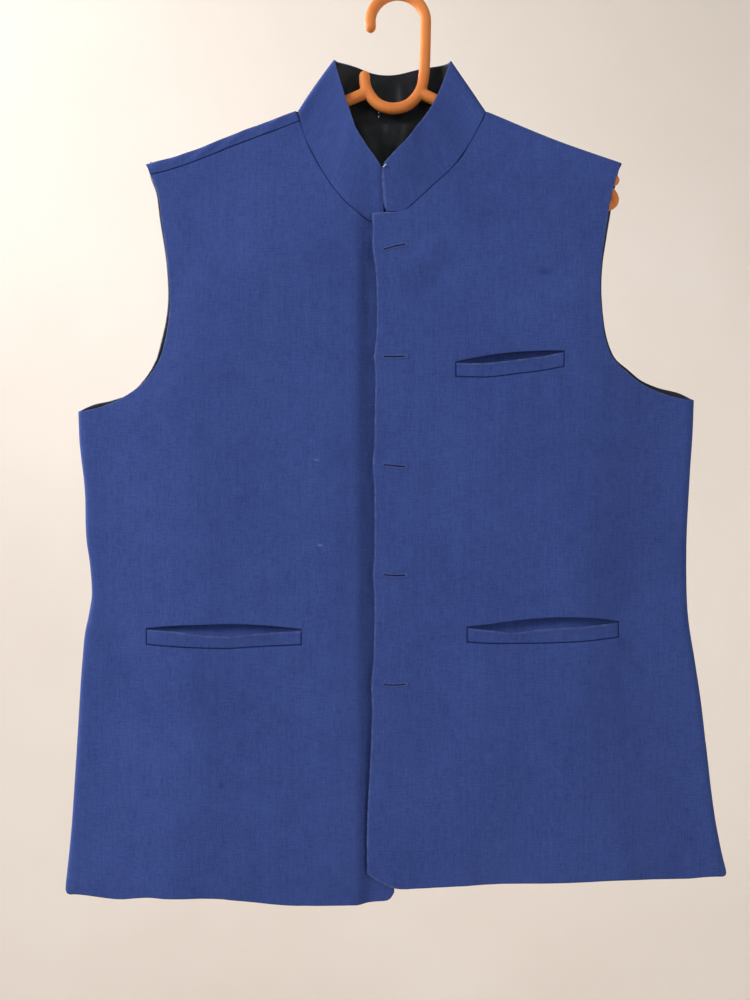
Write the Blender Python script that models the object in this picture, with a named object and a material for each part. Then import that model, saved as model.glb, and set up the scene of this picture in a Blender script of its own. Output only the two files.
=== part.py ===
"""Sleeveless band-collar jacket, buttoned up and hanging on a plastic hanger.

X runs across the chest to the viewer's right, Y goes away from the viewer, Z is up. The origin is the inside
top of the hanger's hook, where it hangs. Every size below is in millimetres, and MM turns it into metres.

Each panel is cut flat, at (u, v) across and up the cloth. The function torso folds that flat cloth round the
side seams and over the shoulders, so u and v are the same as x and z wherever the cloth hangs straight.
"""
import math

import bpy
import numpy as np
from mathutils import Vector
from mathutils.geometry import delaunay_2d_cdt

MM = 0.001

# Cloth thicknesses and the gaps between pieces
CLOTH = 1.5
LINING = 1.0
SEAM_GAP = 0.3
COLLAR_GAP = 0.5

# How deep the hanging cloth stands off the hanger's plane
FOLD_RADIUS = 9.0
RIDGE_RISE = 6.5
FRONT_DEPTH = 26.0
BACK_DEPTH = 19.0
SIDE_SWELL = 110.0
SHOULDER_SWELL = 150.0
SIDE_ARC = FOLD_RADIUS * math.pi / 2
RIDGE_ARC = math.pi / 2 * math.sqrt((FOLD_RADIUS ** 2 + RIDGE_RISE ** 2) / 2)
FRONT, BACK = -1, 1

# x, z of the shoulder ridge; the middle row carries it across the open neck
SHOULDER_RIDGE = [(-234.5, -155.0), (-94.5, -104.0), (-6.5, -70.0), (83.5, -106.0), (148.0, -133.0),
                  (209.5, -155.0)]
LEFT_SHOULDER_ROLL = 2.9

# x of each shoulder's two ends on the ridge
LEFT_NECK_POINT, RIGHT_NECK_POINT = -92.3, 84.0
LEFT_SHOULDER_TIP, RIGHT_SHOULDER_TIP = -228.0, 208.5
# where the back's neck and armhole edges cross the ridge on their way to the left shoulder's seam
BACK_NECK_FOLD, BACK_SHOULDER_FOLD = -94.0, -234.0

# z, x of each side seam, from the hem up to the armhole
LEFT_SIDE = [(-842, -313), (-790, -307.5), (-696, -301), (-621, -296), (-583, -293), (-555, -289.5),
             (-527, -291.5), (-461, -294), (-414, -299), (-389, -300)]
RIGHT_SIDE = [(-828, 308), (-790, 301), (-696, 288.5), (-658, 284), (-621, 278.5), (-583, 272.5),
              (-527, 270.5), (-452, 273.5), (-405, 276.5), (-378, 277.5)]
LEFT_SIDE_TOP, RIGHT_SIDE_TOP = -389.0, -378.0
LEFT_SIDE_FOOT, RIGHT_SIDE_FOOT = -836.0, -819.5
SIDE_VENT = 130.0
VENT_INSET = 1.6
HEM_CORNER = 8.0

# x, z along each armhole, from the shoulder down to the side seam
LEFT_ARMHOLE_FRONT = [(-227.0, -168.0), (-222.5, -182.7), (-217.8, -211.5), (-210.8, -250.1), (-208.2, -278.5),
                      (-208.9, -301.5), (-213.6, -324.2), (-220.0, -342.3), (-233.0, -360.2), (-247.0, -369.8),
                      (-266.3, -377.8), (-290.0, -385.5)]
LEFT_ARMHOLE_BACK = [(-233.5, -165.0), (-230.0, -177.0), (-226.3, -203.9), (-221.3, -241.2), (-219.8, -269.4),
                     (-221.0, -293.2), (-225.7, -317.2), (-231.2, -336.5), (-243.2, -356.8), (-255.0, -368.0),
                     (-272.8, -378.5), (-290.0, -385.5)]
RIGHT_ARMHOLE_FRONT = [(202.5, -163.8), (197.4, -182.7), (192.0, -211.6), (186.0, -250.3), (184.2, -274.0),
                       (185.7, -301.6), (189.6, -324.3), (198.6, -342.3), (209.9, -351.4), (222.7, -360.0),
                       (245.4, -368.7), (268.0, -375.5)]
RIGHT_ARMHOLE_BACK = [(207.0, -161.0), (203.7, -175.7), (199.4, -203.8), (195.4, -241.1), (194.8, -264.6),
                      (197.0, -293.1), (200.8, -317.2), (209.1, -336.5), (219.2, -346.9), (231.1, -356.7),
                      (250.0, -366.5), (268.0, -375.5)]

# x, z along the hem of each front, from the viewer's left to the right
RIGHT_FRONT_HEM = [(-286, -837), (-257, -836.5), (-227, -832.5), (-199, -831.5), (-158, -832.5), (-131, -835),
                   (-103.5, -838), (-76, -838), (-49, -838), (-21.5, -835), (-9, -831), (-4.5, -825)]
LEFT_FRONT_HEM = [(-17, -817), (-4, -822.5), (19, -822.5), (47, -820.5), (101, -819), (169, -817), (197, -815.5),
                  (240, -818), (270, -819.5), (296, -820)]
BACK_HEM_RISE = 5.0
LINING_HEM_Z = -812.0
LINING_REACH = 340.0

# z, x of the edge that laps over, and the closing behind it
LAP_EDGE = [(-811, -29), (-772, -29), (-700, -25.5), (-600, -22.5), (-400, -22), (-270, -20.5), (-208, -23)]
LAP_PUSH = 1.7
LAP_PUSH_HEIGHT = 14.0
UNDERLAP_X = -3.5
UNDERLAP_DIP = 5.4
UNDERLAP_DIP_FROM, UNDERLAP_DIP_TO = -42.0, -25.0
BUTTON_TOP_Z = -240.5
BUTTON_PITCH = 99.4
BUTTON_COUNT = 5
BUTTON_X = -14.0
BUTTON_RADIUS = 9.0
BUTTON_THICK = 3.0
BUTTONHOLE_X, BUTTONHOLE_LENGTH, BUTTONHOLE_WIDTH = -13.5, 19.0, 0.9
# tilt of each buttonhole, from the top one down, as its far end's rise
BUTTONHOLE_TILTS = [1.8, 0.2, -1.8, -0.9, 0.3]

# x, z of the neck seam on each panel
RIGHT_NECK = [(83.5, -106.4), (80.5, -111.7), (75.0, -123.5), (65.3, -141.5), (58.2, -153.5), (49.7, -163.9),
              (30.6, -183.1), (17.7, -195.7), (6.0, -205.5), (-11.6, -207.6)]
LEFT_NECK = [(-91.3, -119.0), (-83.0, -141.8), (-70.4, -166.6), (-59.2, -184.4), (-46.0, -200.1), (-27.0, -214.3),
             (-13.4, -218.5), (-3.5, -220.5)]
BACK_NECK = [(80.0, -106.2), (64.0, -107.4), (40.2, -110.6), (16.5, -111.6), (-5.4, -112.0), (-28.3, -111.6),
             (-52.0, -110.4), (-75.8, -107.0), (-90.5, -104.4)]

# Soft folds: x, z at both ends, half width and how far it stands out (negative for a trough)
FRONT_FOLDS = [(-280, -585, -196, -690, 16, -3.0), (-262, -560, -170, -672, 18, 2.0),
               (-184, -215, -222, -352, 20, -2.5), (15, -288, 62, -246, 9, -2.0),
               (8, -262, 40, -234, 8, 1.5), (-52, -205, -30, -232, 8, -2.0),
               (150, -345, 170, -378, 9, -1.5), (-62, -300, -62, -800, 26, 2.0),
               (70, -420, 88, -800, 30, 2.2), (205, -470, 224, -800, 30, -2.2),
               (-160, -420, -150, -560, 34, -2.0), (150, -640, 158, -815, 24, 1.8)]
BACK_FOLDS = [(-150, -200, -180, -780, 34, 2.4), (-40, -170, -20, -800, 40, -2.6), (95, -230, 120, -800, 34, 2.2),
              (215, -420, 190, -800, 30, -2.0), (-230, -460, -225, -800, 28, -1.8), (20, -130, 60, -240, 22, 1.6)]

# Pocket openings: x, bottom of the welt, top of the welt, top of the opening
BREAST_POCKET = [(52, -358.3, -345.6, -345.0), (64, -358.6, -346, -342.4), (81, -358.7, -345.8, -339.3),
                 (107, -355.8, -343.2, -336.3), (129, -353, -340.2, -335), (150.5, -349, -336, -334.8)]
LOWER_POCKET_RIGHT = [(-231.5, -603, -589.3, -588.4), (-198.5, -604.7, -590.8, -585.3),
                      (-172.6, -605.4, -593.7, -584.2), (-156, -605.6, -594.3, -583.8),
                      (-128, -604, -591.6, -584.6), (-88.5, -602, -589.5, -588)]
LOWER_POCKET_LEFT = [(62, -599.5, -586.6, -585.8), (83, -600.6, -588.5, -583.4), (105, -600.8, -590.6, -580.6),
                     (124, -600.8, -588.2, -578.8), (157, -599.8, -585.9, -577.7), (180, -598.5, -584.6, -579),
                     (202.5, -596.5, -583.3, -582.4)]
WELT_THICK = 1.6
WELT_GAPE = 3.2
WELT_LAP = 3.0
SLOT_INSET = 3.0
FACING_THICK = 1.0
FACING_MARGIN = 7.0
FACING_DROP = 14.0
FACING_SINK = 1.6

# Collar: place along it (panel, seam x, seam z), then its top edge x, y, z
COLLAR = [("left", -12.0, -207.6, -15.2, -27.0, -165.5), ("left", 4.0, -207.0, -5.2, -26.5, -154.2),
          ("left", 17.7, -195.7, 8.9, -24.0, -139.0), ("left", 30.6, -183.1, 16.8, -21.0, -127.3),
          ("left", 49.7, -163.9, 26.2, -17.0, -114.0), ("left", 65.3, -141.5, 35.3, -11.5, -96.7),
          ("left", 75.0, -123.5, 42.8, -7.5, -77.7), ("left", 80.5, -111.7, 48.2, -4.0, -63.4),
          ("ridge", 83.5, 0.0, 50.4, 0.5, -58.3), ("back", 80.0, -106.2, 48.4, 5.0, -58.6),
          ("back", 64.0, -107.4, 39.4, 11.0, -57.4), ("back", 40.2, -110.6, 25.4, 15.5, -57.7),
          ("back", 16.5, -111.6, 10.2, 18.0, -60.1), ("back", -5.4, -112.0, -9.1, 19.0, -62.9),
          ("back", -28.3, -111.6, -25.4, 18.0, -61.0), ("back", -52.0, -110.4, -38.9, 15.5, -56.8),
          ("back", -75.8, -107.0, -50.2, 11.0, -55.5), ("back", -90.5, -104.4, -58.0, 5.0, -57.2),
          ("ridge", -94.0, 0.0, -60.2, 0.5, -57.8), ("right", -92.3, -110.8, -58.8, -4.0, -62.6),
          ("right", -89.0, -126.9, -54.7, -7.5, -76.8), ("right", -83.0, -141.8, -49.9, -11.5, -94.1),
          ("right", -70.4, -166.6, -44.1, -16.5, -113.5), ("right", -59.2, -184.4, -39.3, -19.0, -127.9),
          ("right", -46.0, -200.1, -31.7, -20.5, -140.9), ("right", -27.0, -214.3, -20.7, -21.0, -157.1),
          ("right", -13.4, -218.5, -13.4, -21.5, -168.8)]
COLLAR_ROWS = 4
COLLAR_STEPS = 2

# Hanger: tube sizes and routes as x, z in its own plane
TUBE_RADIUS = 4.7
TUBE_SIDES = 10
HOOK_RADIUS = 26.1
HOOK_CENTRE_Z = -21.4
HOOK_TIP_ANGLE = 190.0
NECK_ROUTE = [(25.6, -45.0), (24.2, -71.9), (22.6, -81.5), (17.5, -91.5), (9.5, -99.0), (-3.7, -102.6),
              (-17.5, -99.2), (-26.4, -90.0), (-30.8, -80.5), (-31.4, -72.5)]
RIGHT_ARM = [(17.5, -86.5), (33.0, -93.6), (83.0, -115.2), (141.0, -141.0), (201.5, -169.7)]
LEFT_ARM = [(-27.0, -86.5), (-40.5, -92.3), (-94.4, -113.2), (-150.0, -136.0), (-208.5, -163.0)]
BAR_RIGHT_END = [(191.5, -166.0), (195.0, -178.0), (201.2, -184.5), (202.6, -190.0), (197.5, -193.8),
                 (180.0, -194.6)]
BAR_LEFT_END = [(-188.0, -188.0), (-205.5, -187.2), (-210.0, -183.4), (-208.4, -178.0), (-202.2, -171.6),
                (-198.5, -159.6)]

# Mesh densities
EDGE_STEP = 16.0
BACK_HEM_STEP = 22.0
CURVE_STEP = 11.0
COLUMN_STEP = 31.0
ROW_STEP = 36.0
RIDGE_STEP = 21.7
SIDE_COLUMNS = (4.7, 9.4, 14.1, 27.0)
ARM_STEP = 40.0
BEND_STEP = 10.0
RIDGE_ROWS = (4.2, 8.4, 12.4, 24.0)
LAP_COLUMNS = (-42.0, -36.5, -30.5, -25.0)

BLUE = (0.046, 0.078, 0.235, 1.0)
BLACK = (0.012, 0.013, 0.016, 1.0)
BUTTON_BLUE = (0.012, 0.018, 0.055, 1.0)
ORANGE = (0.72, 0.25, 0.085, 1.0)


def smooth(t):
    t = np.clip(t, 0.0, 1.0)
    return t * t * (3.0 - 2.0 * t)


def spline(rows, at):
    """Smooth curve through rows of (place, value), read at the places in at and level beyond its ends."""
    place, value = np.array(rows, float).T
    at = np.clip(at, place[0], place[-1])
    slope = np.gradient(value, place)
    i = np.clip(np.searchsorted(place, at) - 1, 0, len(place) - 2)
    span = place[i + 1] - place[i]
    t = (at - place[i]) / span
    start = (2 * t ** 3 - 3 * t ** 2 + 1) * value[i] + (t ** 3 - 2 * t ** 2 + t) * span * slope[i]
    end = (3 * t ** 2 - 2 * t ** 3) * value[i + 1] + (t ** 3 - t ** 2) * span * slope[i + 1]
    return start + end


def along(points, step):
    """Smooth route through points, as places about one step apart."""
    points = np.array(points, float)
    lengths = np.r_[0.0, np.cumsum(np.linalg.norm(np.diff(points, axis=0), axis=1))]
    count = max(1, round(lengths[-1] / step))
    at = np.linspace(0.0, lengths[-1], count + 1)
    return np.stack([spline(np.c_[lengths, column], at) for column in points.T], axis=1)


def folds(x, z, face):
    """Height of the hand-placed folds at (x, z)."""
    height = np.zeros_like(x)
    for table, side in ((FRONT_FOLDS, FRONT), (BACK_FOLDS, BACK)):
        for x0, z0, x1, z1, width, rise in table:
            length = math.hypot(x1 - x0, z1 - z0)
            ux, uz = (x1 - x0) / length, (z1 - z0) / length
            lengthwise = ((x - x0) * ux + (z - z0) * uz) / length
            across = (x - x0) * uz - (z - z0) * ux
            fade = smooth(lengthwise / 0.3 + 0.35) * smooth((1.0 - lengthwise) / 0.3 + 0.35)
            height += np.where(face == side, rise * fade * np.exp(-(across / width) ** 2), 0.0)
    return height


def torso(u, v, face):
    """Outer face of the body's cloth at (u, v), as an array of x, y, z."""
    u, v = np.broadcast_arrays(np.asarray(u, float), np.asarray(v, float))
    left = spline(LEFT_SIDE, v)
    right = spline(RIGHT_SIDE, v)
    spare = SIDE_ARC - FOLD_RADIUS
    from_left = u - (left - spare)
    from_right = (right + spare) - u
    turn_left = np.clip(from_left / SIDE_ARC, -0.1, 1.0) * math.pi / 2
    turn_right = np.clip(from_right / SIDE_ARC, -0.1, 1.0) * math.pi / 2
    x = np.where(from_left < SIDE_ARC, left + FOLD_RADIUS * (1 - np.cos(turn_left)),
                 np.where(from_right < SIDE_ARC, right - FOLD_RADIUS * (1 - np.cos(turn_right)), u))
    in_from_side = np.minimum(from_left, from_right) - SIDE_ARC
    ridge = spline(SHOULDER_RIDGE, x)
    over = ridge + (RIDGE_ARC - RIDGE_RISE) - v
    now = np.where(over < 0, -face, face)
    turn_ridge = np.clip(np.abs(over) / RIDGE_ARC, 0.0, 1.0) * math.pi / 2
    drop = np.where(np.abs(over) < RIDGE_ARC, RIDGE_RISE * (1 - np.cos(turn_ridge)),
                    np.abs(over) - RIDGE_ARC + RIDGE_RISE)
    cap = np.sin(np.minimum(np.minimum(turn_left, turn_right), turn_ridge))
    swell = smooth(in_from_side / SIDE_SWELL) * smooth((drop - RIDGE_RISE) / SHOULDER_SWELL)
    deepest = np.where(now == FRONT, FRONT_DEPTH, BACK_DEPTH)
    z = ridge - drop
    soft = folds(x, z, now) * smooth(in_from_side / 45.0) * smooth((drop - RIDGE_RISE) / 45.0)
    depth = FOLD_RADIUS * cap + (deepest - FOLD_RADIUS) * swell + soft
    return np.stack([x, now * depth, z], axis=-1)


def under_lap(x):
    """How far the front that lies beneath sinks behind the one that laps over it."""
    return UNDERLAP_DIP * smooth((x - UNDERLAP_DIP_FROM) / (UNDERLAP_DIP_TO - UNDERLAP_DIP_FROM))


def right_front_cloth(u, v, face):
    place = torso(u, v, face)
    place[..., 1] += under_lap(place[..., 0]) * smooth((-v - 130.0) / 70.0)
    return place


def facing_out(surface, u, v, face):
    """The surface's place and its unit normal, which points away from the wearer."""
    reach = 0.05
    across = surface(u + reach, v, face) - surface(u - reach, v, face)
    up = surface(u, v + reach, face) - surface(u, v - reach, face)
    normal = np.cross(across, up) * -face
    return surface(u, v, face), normal / np.linalg.norm(normal, axis=-1, keepdims=True)


def flat_place(x, z):
    """The (u, v) of cloth that is seen at (x, z), from the front or from behind."""
    x, z = np.broadcast_arrays(np.asarray(x, float), np.asarray(z, float))
    left, right = spline(LEFT_SIDE, z), spline(RIGHT_SIDE, z)
    spare = SIDE_ARC - FOLD_RADIUS
    near_left = np.clip(1 - (x - left) / FOLD_RADIUS, 0.0, 1.0)
    near_right = np.clip(1 - (right - x) / FOLD_RADIUS, 0.0, 1.0)
    u = np.where(near_left > 0, left - spare + SIDE_ARC * np.arccos(near_left) * 2 / math.pi,
                 np.where(near_right > 0, right + spare - SIDE_ARC * np.arccos(near_right) * 2 / math.pi, x))
    ridge = spline(SHOULDER_RIDGE, x)
    drop = np.clip(ridge - z, 0.0, None)
    near_ridge = np.clip(1 - drop / RIDGE_RISE, 0.0, 1.0)
    turn = RIDGE_ARC * np.arccos(near_ridge) * 2 / math.pi
    arc = np.where(near_ridge > 0, turn, drop - RIDGE_RISE + RIDGE_ARC)
    return np.stack([u, ridge + RIDGE_ARC - RIDGE_RISE - arc], axis=-1)


def seen(table):
    return flat_place(*np.array(table, float).T)


def ridge_point(x, arc):
    """The (u, v) on the shoulder at x, an arc length down from the ridge (negative past it)."""
    return np.array([x, float(spline(SHOULDER_RIDGE, np.array([x]))[0]) + RIDGE_ARC - RIDGE_RISE - arc])


def net_rows():
    return np.arange(-850.0, -70.0, ROW_STEP)


def ridge_places():
    return np.arange(-232.0, 210.0, RIDGE_STEP)


def shoulder_run(start, end, arc):
    """A shoulder's cut edge from start to end across, an arc length down from the ridge."""
    low, high = min(start, end) + 5.0, max(start, end) - 5.0
    places = ridge_places()
    places = places[(places > low) & (places < high)]
    places = np.r_[start, places if start < end else places[::-1], end]
    return np.array([ridge_point(x, arc) for x in places])


def side_run(table, sign, low, high):
    """The side seam's cut edge from low to high, with the vent opened a little at its foot."""
    rows = net_rows()
    v = np.r_[low, rows[(rows > low + 9.0) & (rows < high - 9.0)], high]
    inset = SEAM_GAP / 2 + VENT_INSET * smooth((low + SIDE_VENT - v) / 25.0)
    edge = spline(table, v) + sign * (SIDE_ARC - FOLD_RADIUS - inset)
    return np.stack([edge, v], axis=-1)


def round_corner(before, corner, after, radius):
    """Three points that round off a corner between two edges."""
    before, corner, after = (np.array(p, float) for p in (before, corner, after))
    a = corner + (before - corner) / np.linalg.norm(before - corner) * radius
    b = corner + (after - corner) / np.linalg.norm(after - corner) * radius
    middle = (a + b) / 4 + corner / 2
    return np.array([a, middle, b])


def moved_left(run, distance):
    """A run of an outline moved sideways, to the left of its direction."""
    direction = np.gradient(run, axis=0)
    direction /= np.linalg.norm(direction, axis=1, keepdims=True)
    return run + distance * np.stack([-direction[:, 1], direction[:, 0]], axis=1)


def closed(*runs):
    """One outline out of runs that follow each other, without doubled points."""
    points = np.concatenate(runs)
    keep = np.linalg.norm(points - np.roll(points, 1, axis=0), axis=1) > 0.6
    return points[keep]


def lap_edge(v):
    pushes = sum(np.exp(-((v - z) / LAP_PUSH_HEIGHT) ** 2) for z in button_heights())
    return spline(LAP_EDGE, v) - LAP_PUSH * pushes


def button_heights():
    return [BUTTON_TOP_Z - BUTTON_PITCH * i for i in range(BUTTON_COUNT)]


def left_front_outline():
    """The front on the viewer's right, which laps over the other one."""
    bottom_corner = np.array([lap_edge(np.array([-811.0]))[0], -811.0])
    side = side_run(RIGHT_SIDE, 1, RIGHT_SIDE_FOOT, RIGHT_SIDE_TOP)
    hem = along(seen([bottom_corner] + LEFT_FRONT_HEM), EDGE_STEP)
    corner = round_corner(hem[-1], side[0], side[1], HEM_CORNER)
    shoulder = shoulder_run(RIGHT_SHOULDER_TIP, RIGHT_NECK_POINT, SEAM_GAP / 2)
    arm = along(np.concatenate([side[-1:], seen(RIGHT_ARMHOLE_FRONT[::-1]), shoulder[:1]]), CURVE_STEP)
    neck = moved_left(along(seen(RIGHT_NECK), CURVE_STEP), COLLAR_GAP)
    top = np.array([[lap_edge(np.array([-208.0]))[0], -208.2]])
    lap_v = np.linspace(-209.0, -810.0, 62)[1:-1]
    lap = np.stack([lap_edge(lap_v), lap_v], axis=1)
    return closed(hem[:-1], corner, side[1:-1], arm, shoulder[1:], neck[1:], top, lap)


def right_front_outline():
    """The front on the viewer's left, whose closing edge lies beneath."""
    side = side_run(LEFT_SIDE, -1, LEFT_SIDE_FOOT, LEFT_SIDE_TOP)[::-1]
    hem = along(seen(RIGHT_FRONT_HEM), EDGE_STEP)
    corner = round_corner(side[-2], side[-1], hem[1], HEM_CORNER)
    underlap = np.array([[UNDERLAP_X, z] for z in np.linspace(-822.0, -222.0, 24)])
    neck = moved_left(along(seen(LEFT_NECK[::-1]), CURVE_STEP), COLLAR_GAP)
    drop = RIDGE_ARC + LEFT_SHOULDER_ROLL + SEAM_GAP / 2
    shoulder = shoulder_run(LEFT_NECK_POINT, LEFT_SHOULDER_TIP, drop)
    arm = along(np.concatenate([shoulder[-1:], seen(LEFT_ARMHOLE_FRONT[1:]), side[:1]]), CURVE_STEP)
    return closed(corner, hem[1:], underlap, neck, shoulder, arm[1:-1], side[:-1])


def back_hem():
    hem = [(x, z + BACK_HEM_RISE) for x, z in RIGHT_FRONT_HEM[:10]]
    return hem + [(x, z + BACK_HEM_RISE) for x, z in LEFT_FRONT_HEM[3:]]


def back_outline():
    left_side = side_run(LEFT_SIDE, -1, LEFT_SIDE_FOOT + BACK_HEM_RISE, LEFT_SIDE_TOP)[::-1]
    right_side = side_run(RIGHT_SIDE, 1, RIGHT_SIDE_FOOT + BACK_HEM_RISE, RIGHT_SIDE_TOP)
    hem = along(seen(back_hem()), BACK_HEM_STEP)
    left_corner = round_corner(left_side[-2], left_side[-1], hem[1], HEM_CORNER)
    right_corner = round_corner(hem[-2], right_side[0], right_side[1], HEM_CORNER)
    right_shoulder = shoulder_run(RIGHT_SHOULDER_TIP, RIGHT_NECK_POINT, SEAM_GAP / 2)
    right_arm = np.concatenate([right_side[-1:], seen(RIGHT_ARMHOLE_BACK[::-1]), right_shoulder[:1]])
    right_arm = along(right_arm, CURVE_STEP)
    roll = -(RIDGE_ARC + LEFT_SHOULDER_ROLL - SEAM_GAP / 2)
    left_shoulder = shoulder_run(LEFT_NECK_POINT, LEFT_SHOULDER_TIP, roll)
    neck = [right_shoulder[-1:], seen(BACK_NECK), [ridge_point(BACK_NECK_FOLD, 0.0)], left_shoulder[:1]]
    neck = moved_left(along(np.concatenate(neck), CURVE_STEP), COLLAR_GAP)
    left_arm = along(np.concatenate([left_shoulder[-1:], [ridge_point(BACK_SHOULDER_FOLD, 0.0)],
                                     seen(LEFT_ARMHOLE_BACK), left_side[:1]]), CURVE_STEP)
    return closed(left_corner, hem[1:-1], right_corner, right_side[1:-1], right_arm, right_shoulder[1:-1],
                  neck[1:-1], left_shoulder, left_arm[1:-1], left_side[:-1])


def inside(polygon, points):
    """Which points lie inside a polygon, by counting the edges to their right."""
    result = np.zeros(len(points), bool)
    for (x0, y0), (x1, y1) in zip(polygon, np.roll(polygon, -1, axis=0)):
        crosses = (y0 > points[:, 1]) != (y1 > points[:, 1])
        with np.errstate(divide="ignore", invalid="ignore"):
            at = x0 + (points[:, 1] - y0) / (y1 - y0) * (x1 - x0)
        result ^= crosses & (points[:, 0] < at)
    return result


def clearance(polygon, points):
    """Distance from each point to the nearest edge of a polygon."""
    nearest = np.full(len(points), 1e9)
    for a, b in zip(polygon, np.roll(polygon, -1, axis=0)):
        t = np.clip(((points - a) @ (b - a)) / max((b - a) @ (b - a), 1e-9), 0.0, 1.0)
        nearest = np.minimum(nearest, np.linalg.norm(points - (a + t[:, None] * (b - a)), axis=1))
    return nearest


def lattice(outline, loops, extra_columns=()):
    """Inner points of a panel: wide apart where it hangs straight, close where it folds round an edge."""
    spare = SIDE_ARC - FOLD_RADIUS
    columns = np.arange(-310.0, 320.0, COLUMN_STEP)
    wide, close = [], []
    for v in net_rows():
        left = float(spline(LEFT_SIDE, np.array([v]))[0]) - spare
        right = float(spline(RIGHT_SIDE, np.array([v]))[0]) + spare
        wide += [(u, v) for u in columns if left + 38.0 < u < right - 38.0]
        close += [(left + s, v) for s in SIDE_COLUMNS] + [(right - s, v) for s in SIDE_COLUMNS]
        close += [(u, v) for u in extra_columns]
    for u in ridge_places():
        close += [tuple(ridge_point(u, arc)) for arc in RIDGE_ROWS]
        close += [tuple(ridge_point(u, -arc)) for arc in RIDGE_ROWS[:2]] + [tuple(ridge_point(u, 0.0))]
    wide, close = np.array(wide), np.array(close)
    wide = wide[[np.min(np.abs(p - close).sum(axis=1)) > 14.0 for p in wide]]
    points = []
    for group, margin in ((wide, 9.0), (close, 3.0)):
        clear = inside(outline, group) & (clearance(outline, group) > margin)
        for loop in loops:
            clear &= clearance(loop, group) > margin
        points.append(group[clear])
    return np.concatenate(points)


def panel_net(outline, loops, extra_columns=()):
    """Flat triangles that fill an outline, with edges along the loops that other pieces are cut by."""
    everything = [outline, *loops]
    verts = [Vector(p) for loop in everything for p in loop]
    verts += [Vector(p) for p in lattice(outline, loops, extra_columns)]
    edges, start = [], 0
    for loop in everything:
        edges += [(start + i, start + (i + 1) % len(loop)) for i in range(len(loop))]
        start += len(loop)
    found = delaunay_2d_cdt(verts, edges, [], 0, 1e-5)
    flat = np.array([tuple(p) for p in found[0]])
    faces = np.array([tuple(f) for f in found[2]])
    a, b, c = (flat[faces[:, i]] for i in range(3))
    turned = (b[:, 0] - a[:, 0]) * (c[:, 1] - a[:, 1]) < (b[:, 1] - a[:, 1]) * (c[:, 0] - a[:, 0])
    faces[turned] = faces[turned][:, ::-1]
    return flat, faces


def cut_from(net, within, without=()):
    """The part of a net that lies inside every outline of within and outside those of without."""
    flat, faces = net
    centres = flat[faces].mean(axis=1)
    kept = np.ones(len(faces), bool)
    for loop in within:
        kept &= inside(loop, centres)
    for loop in without:
        kept &= ~inside(loop, centres)
    used, numbered = np.unique(faces[kept], return_inverse=True)
    return flat[used], numbered.reshape(-1, 3)


def material(name, colour, roughness):
    made = bpy.data.materials.new(name)
    made.use_nodes = True
    shader = made.node_tree.nodes["Principled BSDF"]
    shader.inputs["Base Color"].default_value = colour
    shader.inputs["Roughness"].default_value = roughness
    made.diffuse_color = colour
    return made


def add_object(name, verts, faces, colour, roughness, parent):
    mesh = bpy.data.meshes.new(name)
    mesh.from_pydata([tuple(p * MM for p in vert) for vert in verts], [], [tuple(map(int, f)) for f in faces])
    mesh.validate()
    mesh.materials.append(material(name + "_finish", colour, roughness))
    mesh.shade_smooth()
    mesh.set_sharp_from_angle(angle=math.radians(50))
    made = bpy.data.objects.new(name, mesh)
    made.parent = parent
    bpy.context.scene.collection.objects.link(made)
    return made


def walled(outer, inner, faces):
    """Closes two like sheets into one solid: outer faces, turned inner faces and walls round every edge."""
    count = len(outer)
    faces = [tuple(f) for f in faces]
    edges = {(f[i], f[(i + 1) % len(f)]) for f in faces for i in range(len(f))}
    rim = [(a, b) for a, b in edges if (b, a) not in edges]
    walls = [(b, a, a + count, b + count) for a, b in rim]
    back = [tuple(i + count for i in reversed(f)) for f in faces]
    return np.concatenate([outer, inner]), faces + back + walls


def add_sheet(name, piece, surface, face, rise, thick, colour, parent):
    """A cut piece of cloth as a solid; rise is how far its outer face stands out from the surface."""
    flat, faces = piece
    place, normal = facing_out(surface, flat[:, 0], flat[:, 1], face)
    if face == BACK:
        faces = faces[:, ::-1]
    rise = np.broadcast_to(rise, len(flat))[:, None]
    verts, faces = walled(place + normal * rise, place + normal * (rise - thick), faces)
    return add_object(name, verts, faces, colour, 0.85, parent)


def band(rows, low, high, inset, count):
    """A closed outline between two columns of a pocket's table, each moved by the amount given with it."""
    rows = np.array(rows, float)
    x = np.linspace(rows[0, 0] + inset, rows[-1, 0] - inset, count)
    inner = np.clip(x, rows[0, 0], rows[-1, 0])
    bottom = spline(rows[:, [0, low[0]]], inner) + low[1]
    top = spline(rows[:, [0, high[0]]], inner) + high[1]
    return np.concatenate([np.stack([x, bottom], axis=1), np.stack([x, top], axis=1)[::-1]])


def pocket_loops(rows):
    """Outlines of a pocket's slot, of the welt over it and of the facing behind it."""
    slot = band(rows, (2, -WELT_LAP), (3, 0.0), SLOT_INSET, 9)
    welt = band(rows, (1, 0.0), (2, 0.0), 0.0, 9)
    facing = band(rows, (1, -FACING_DROP), (3, FACING_MARGIN), -FACING_MARGIN, 7)
    return slot, welt, facing


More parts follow.
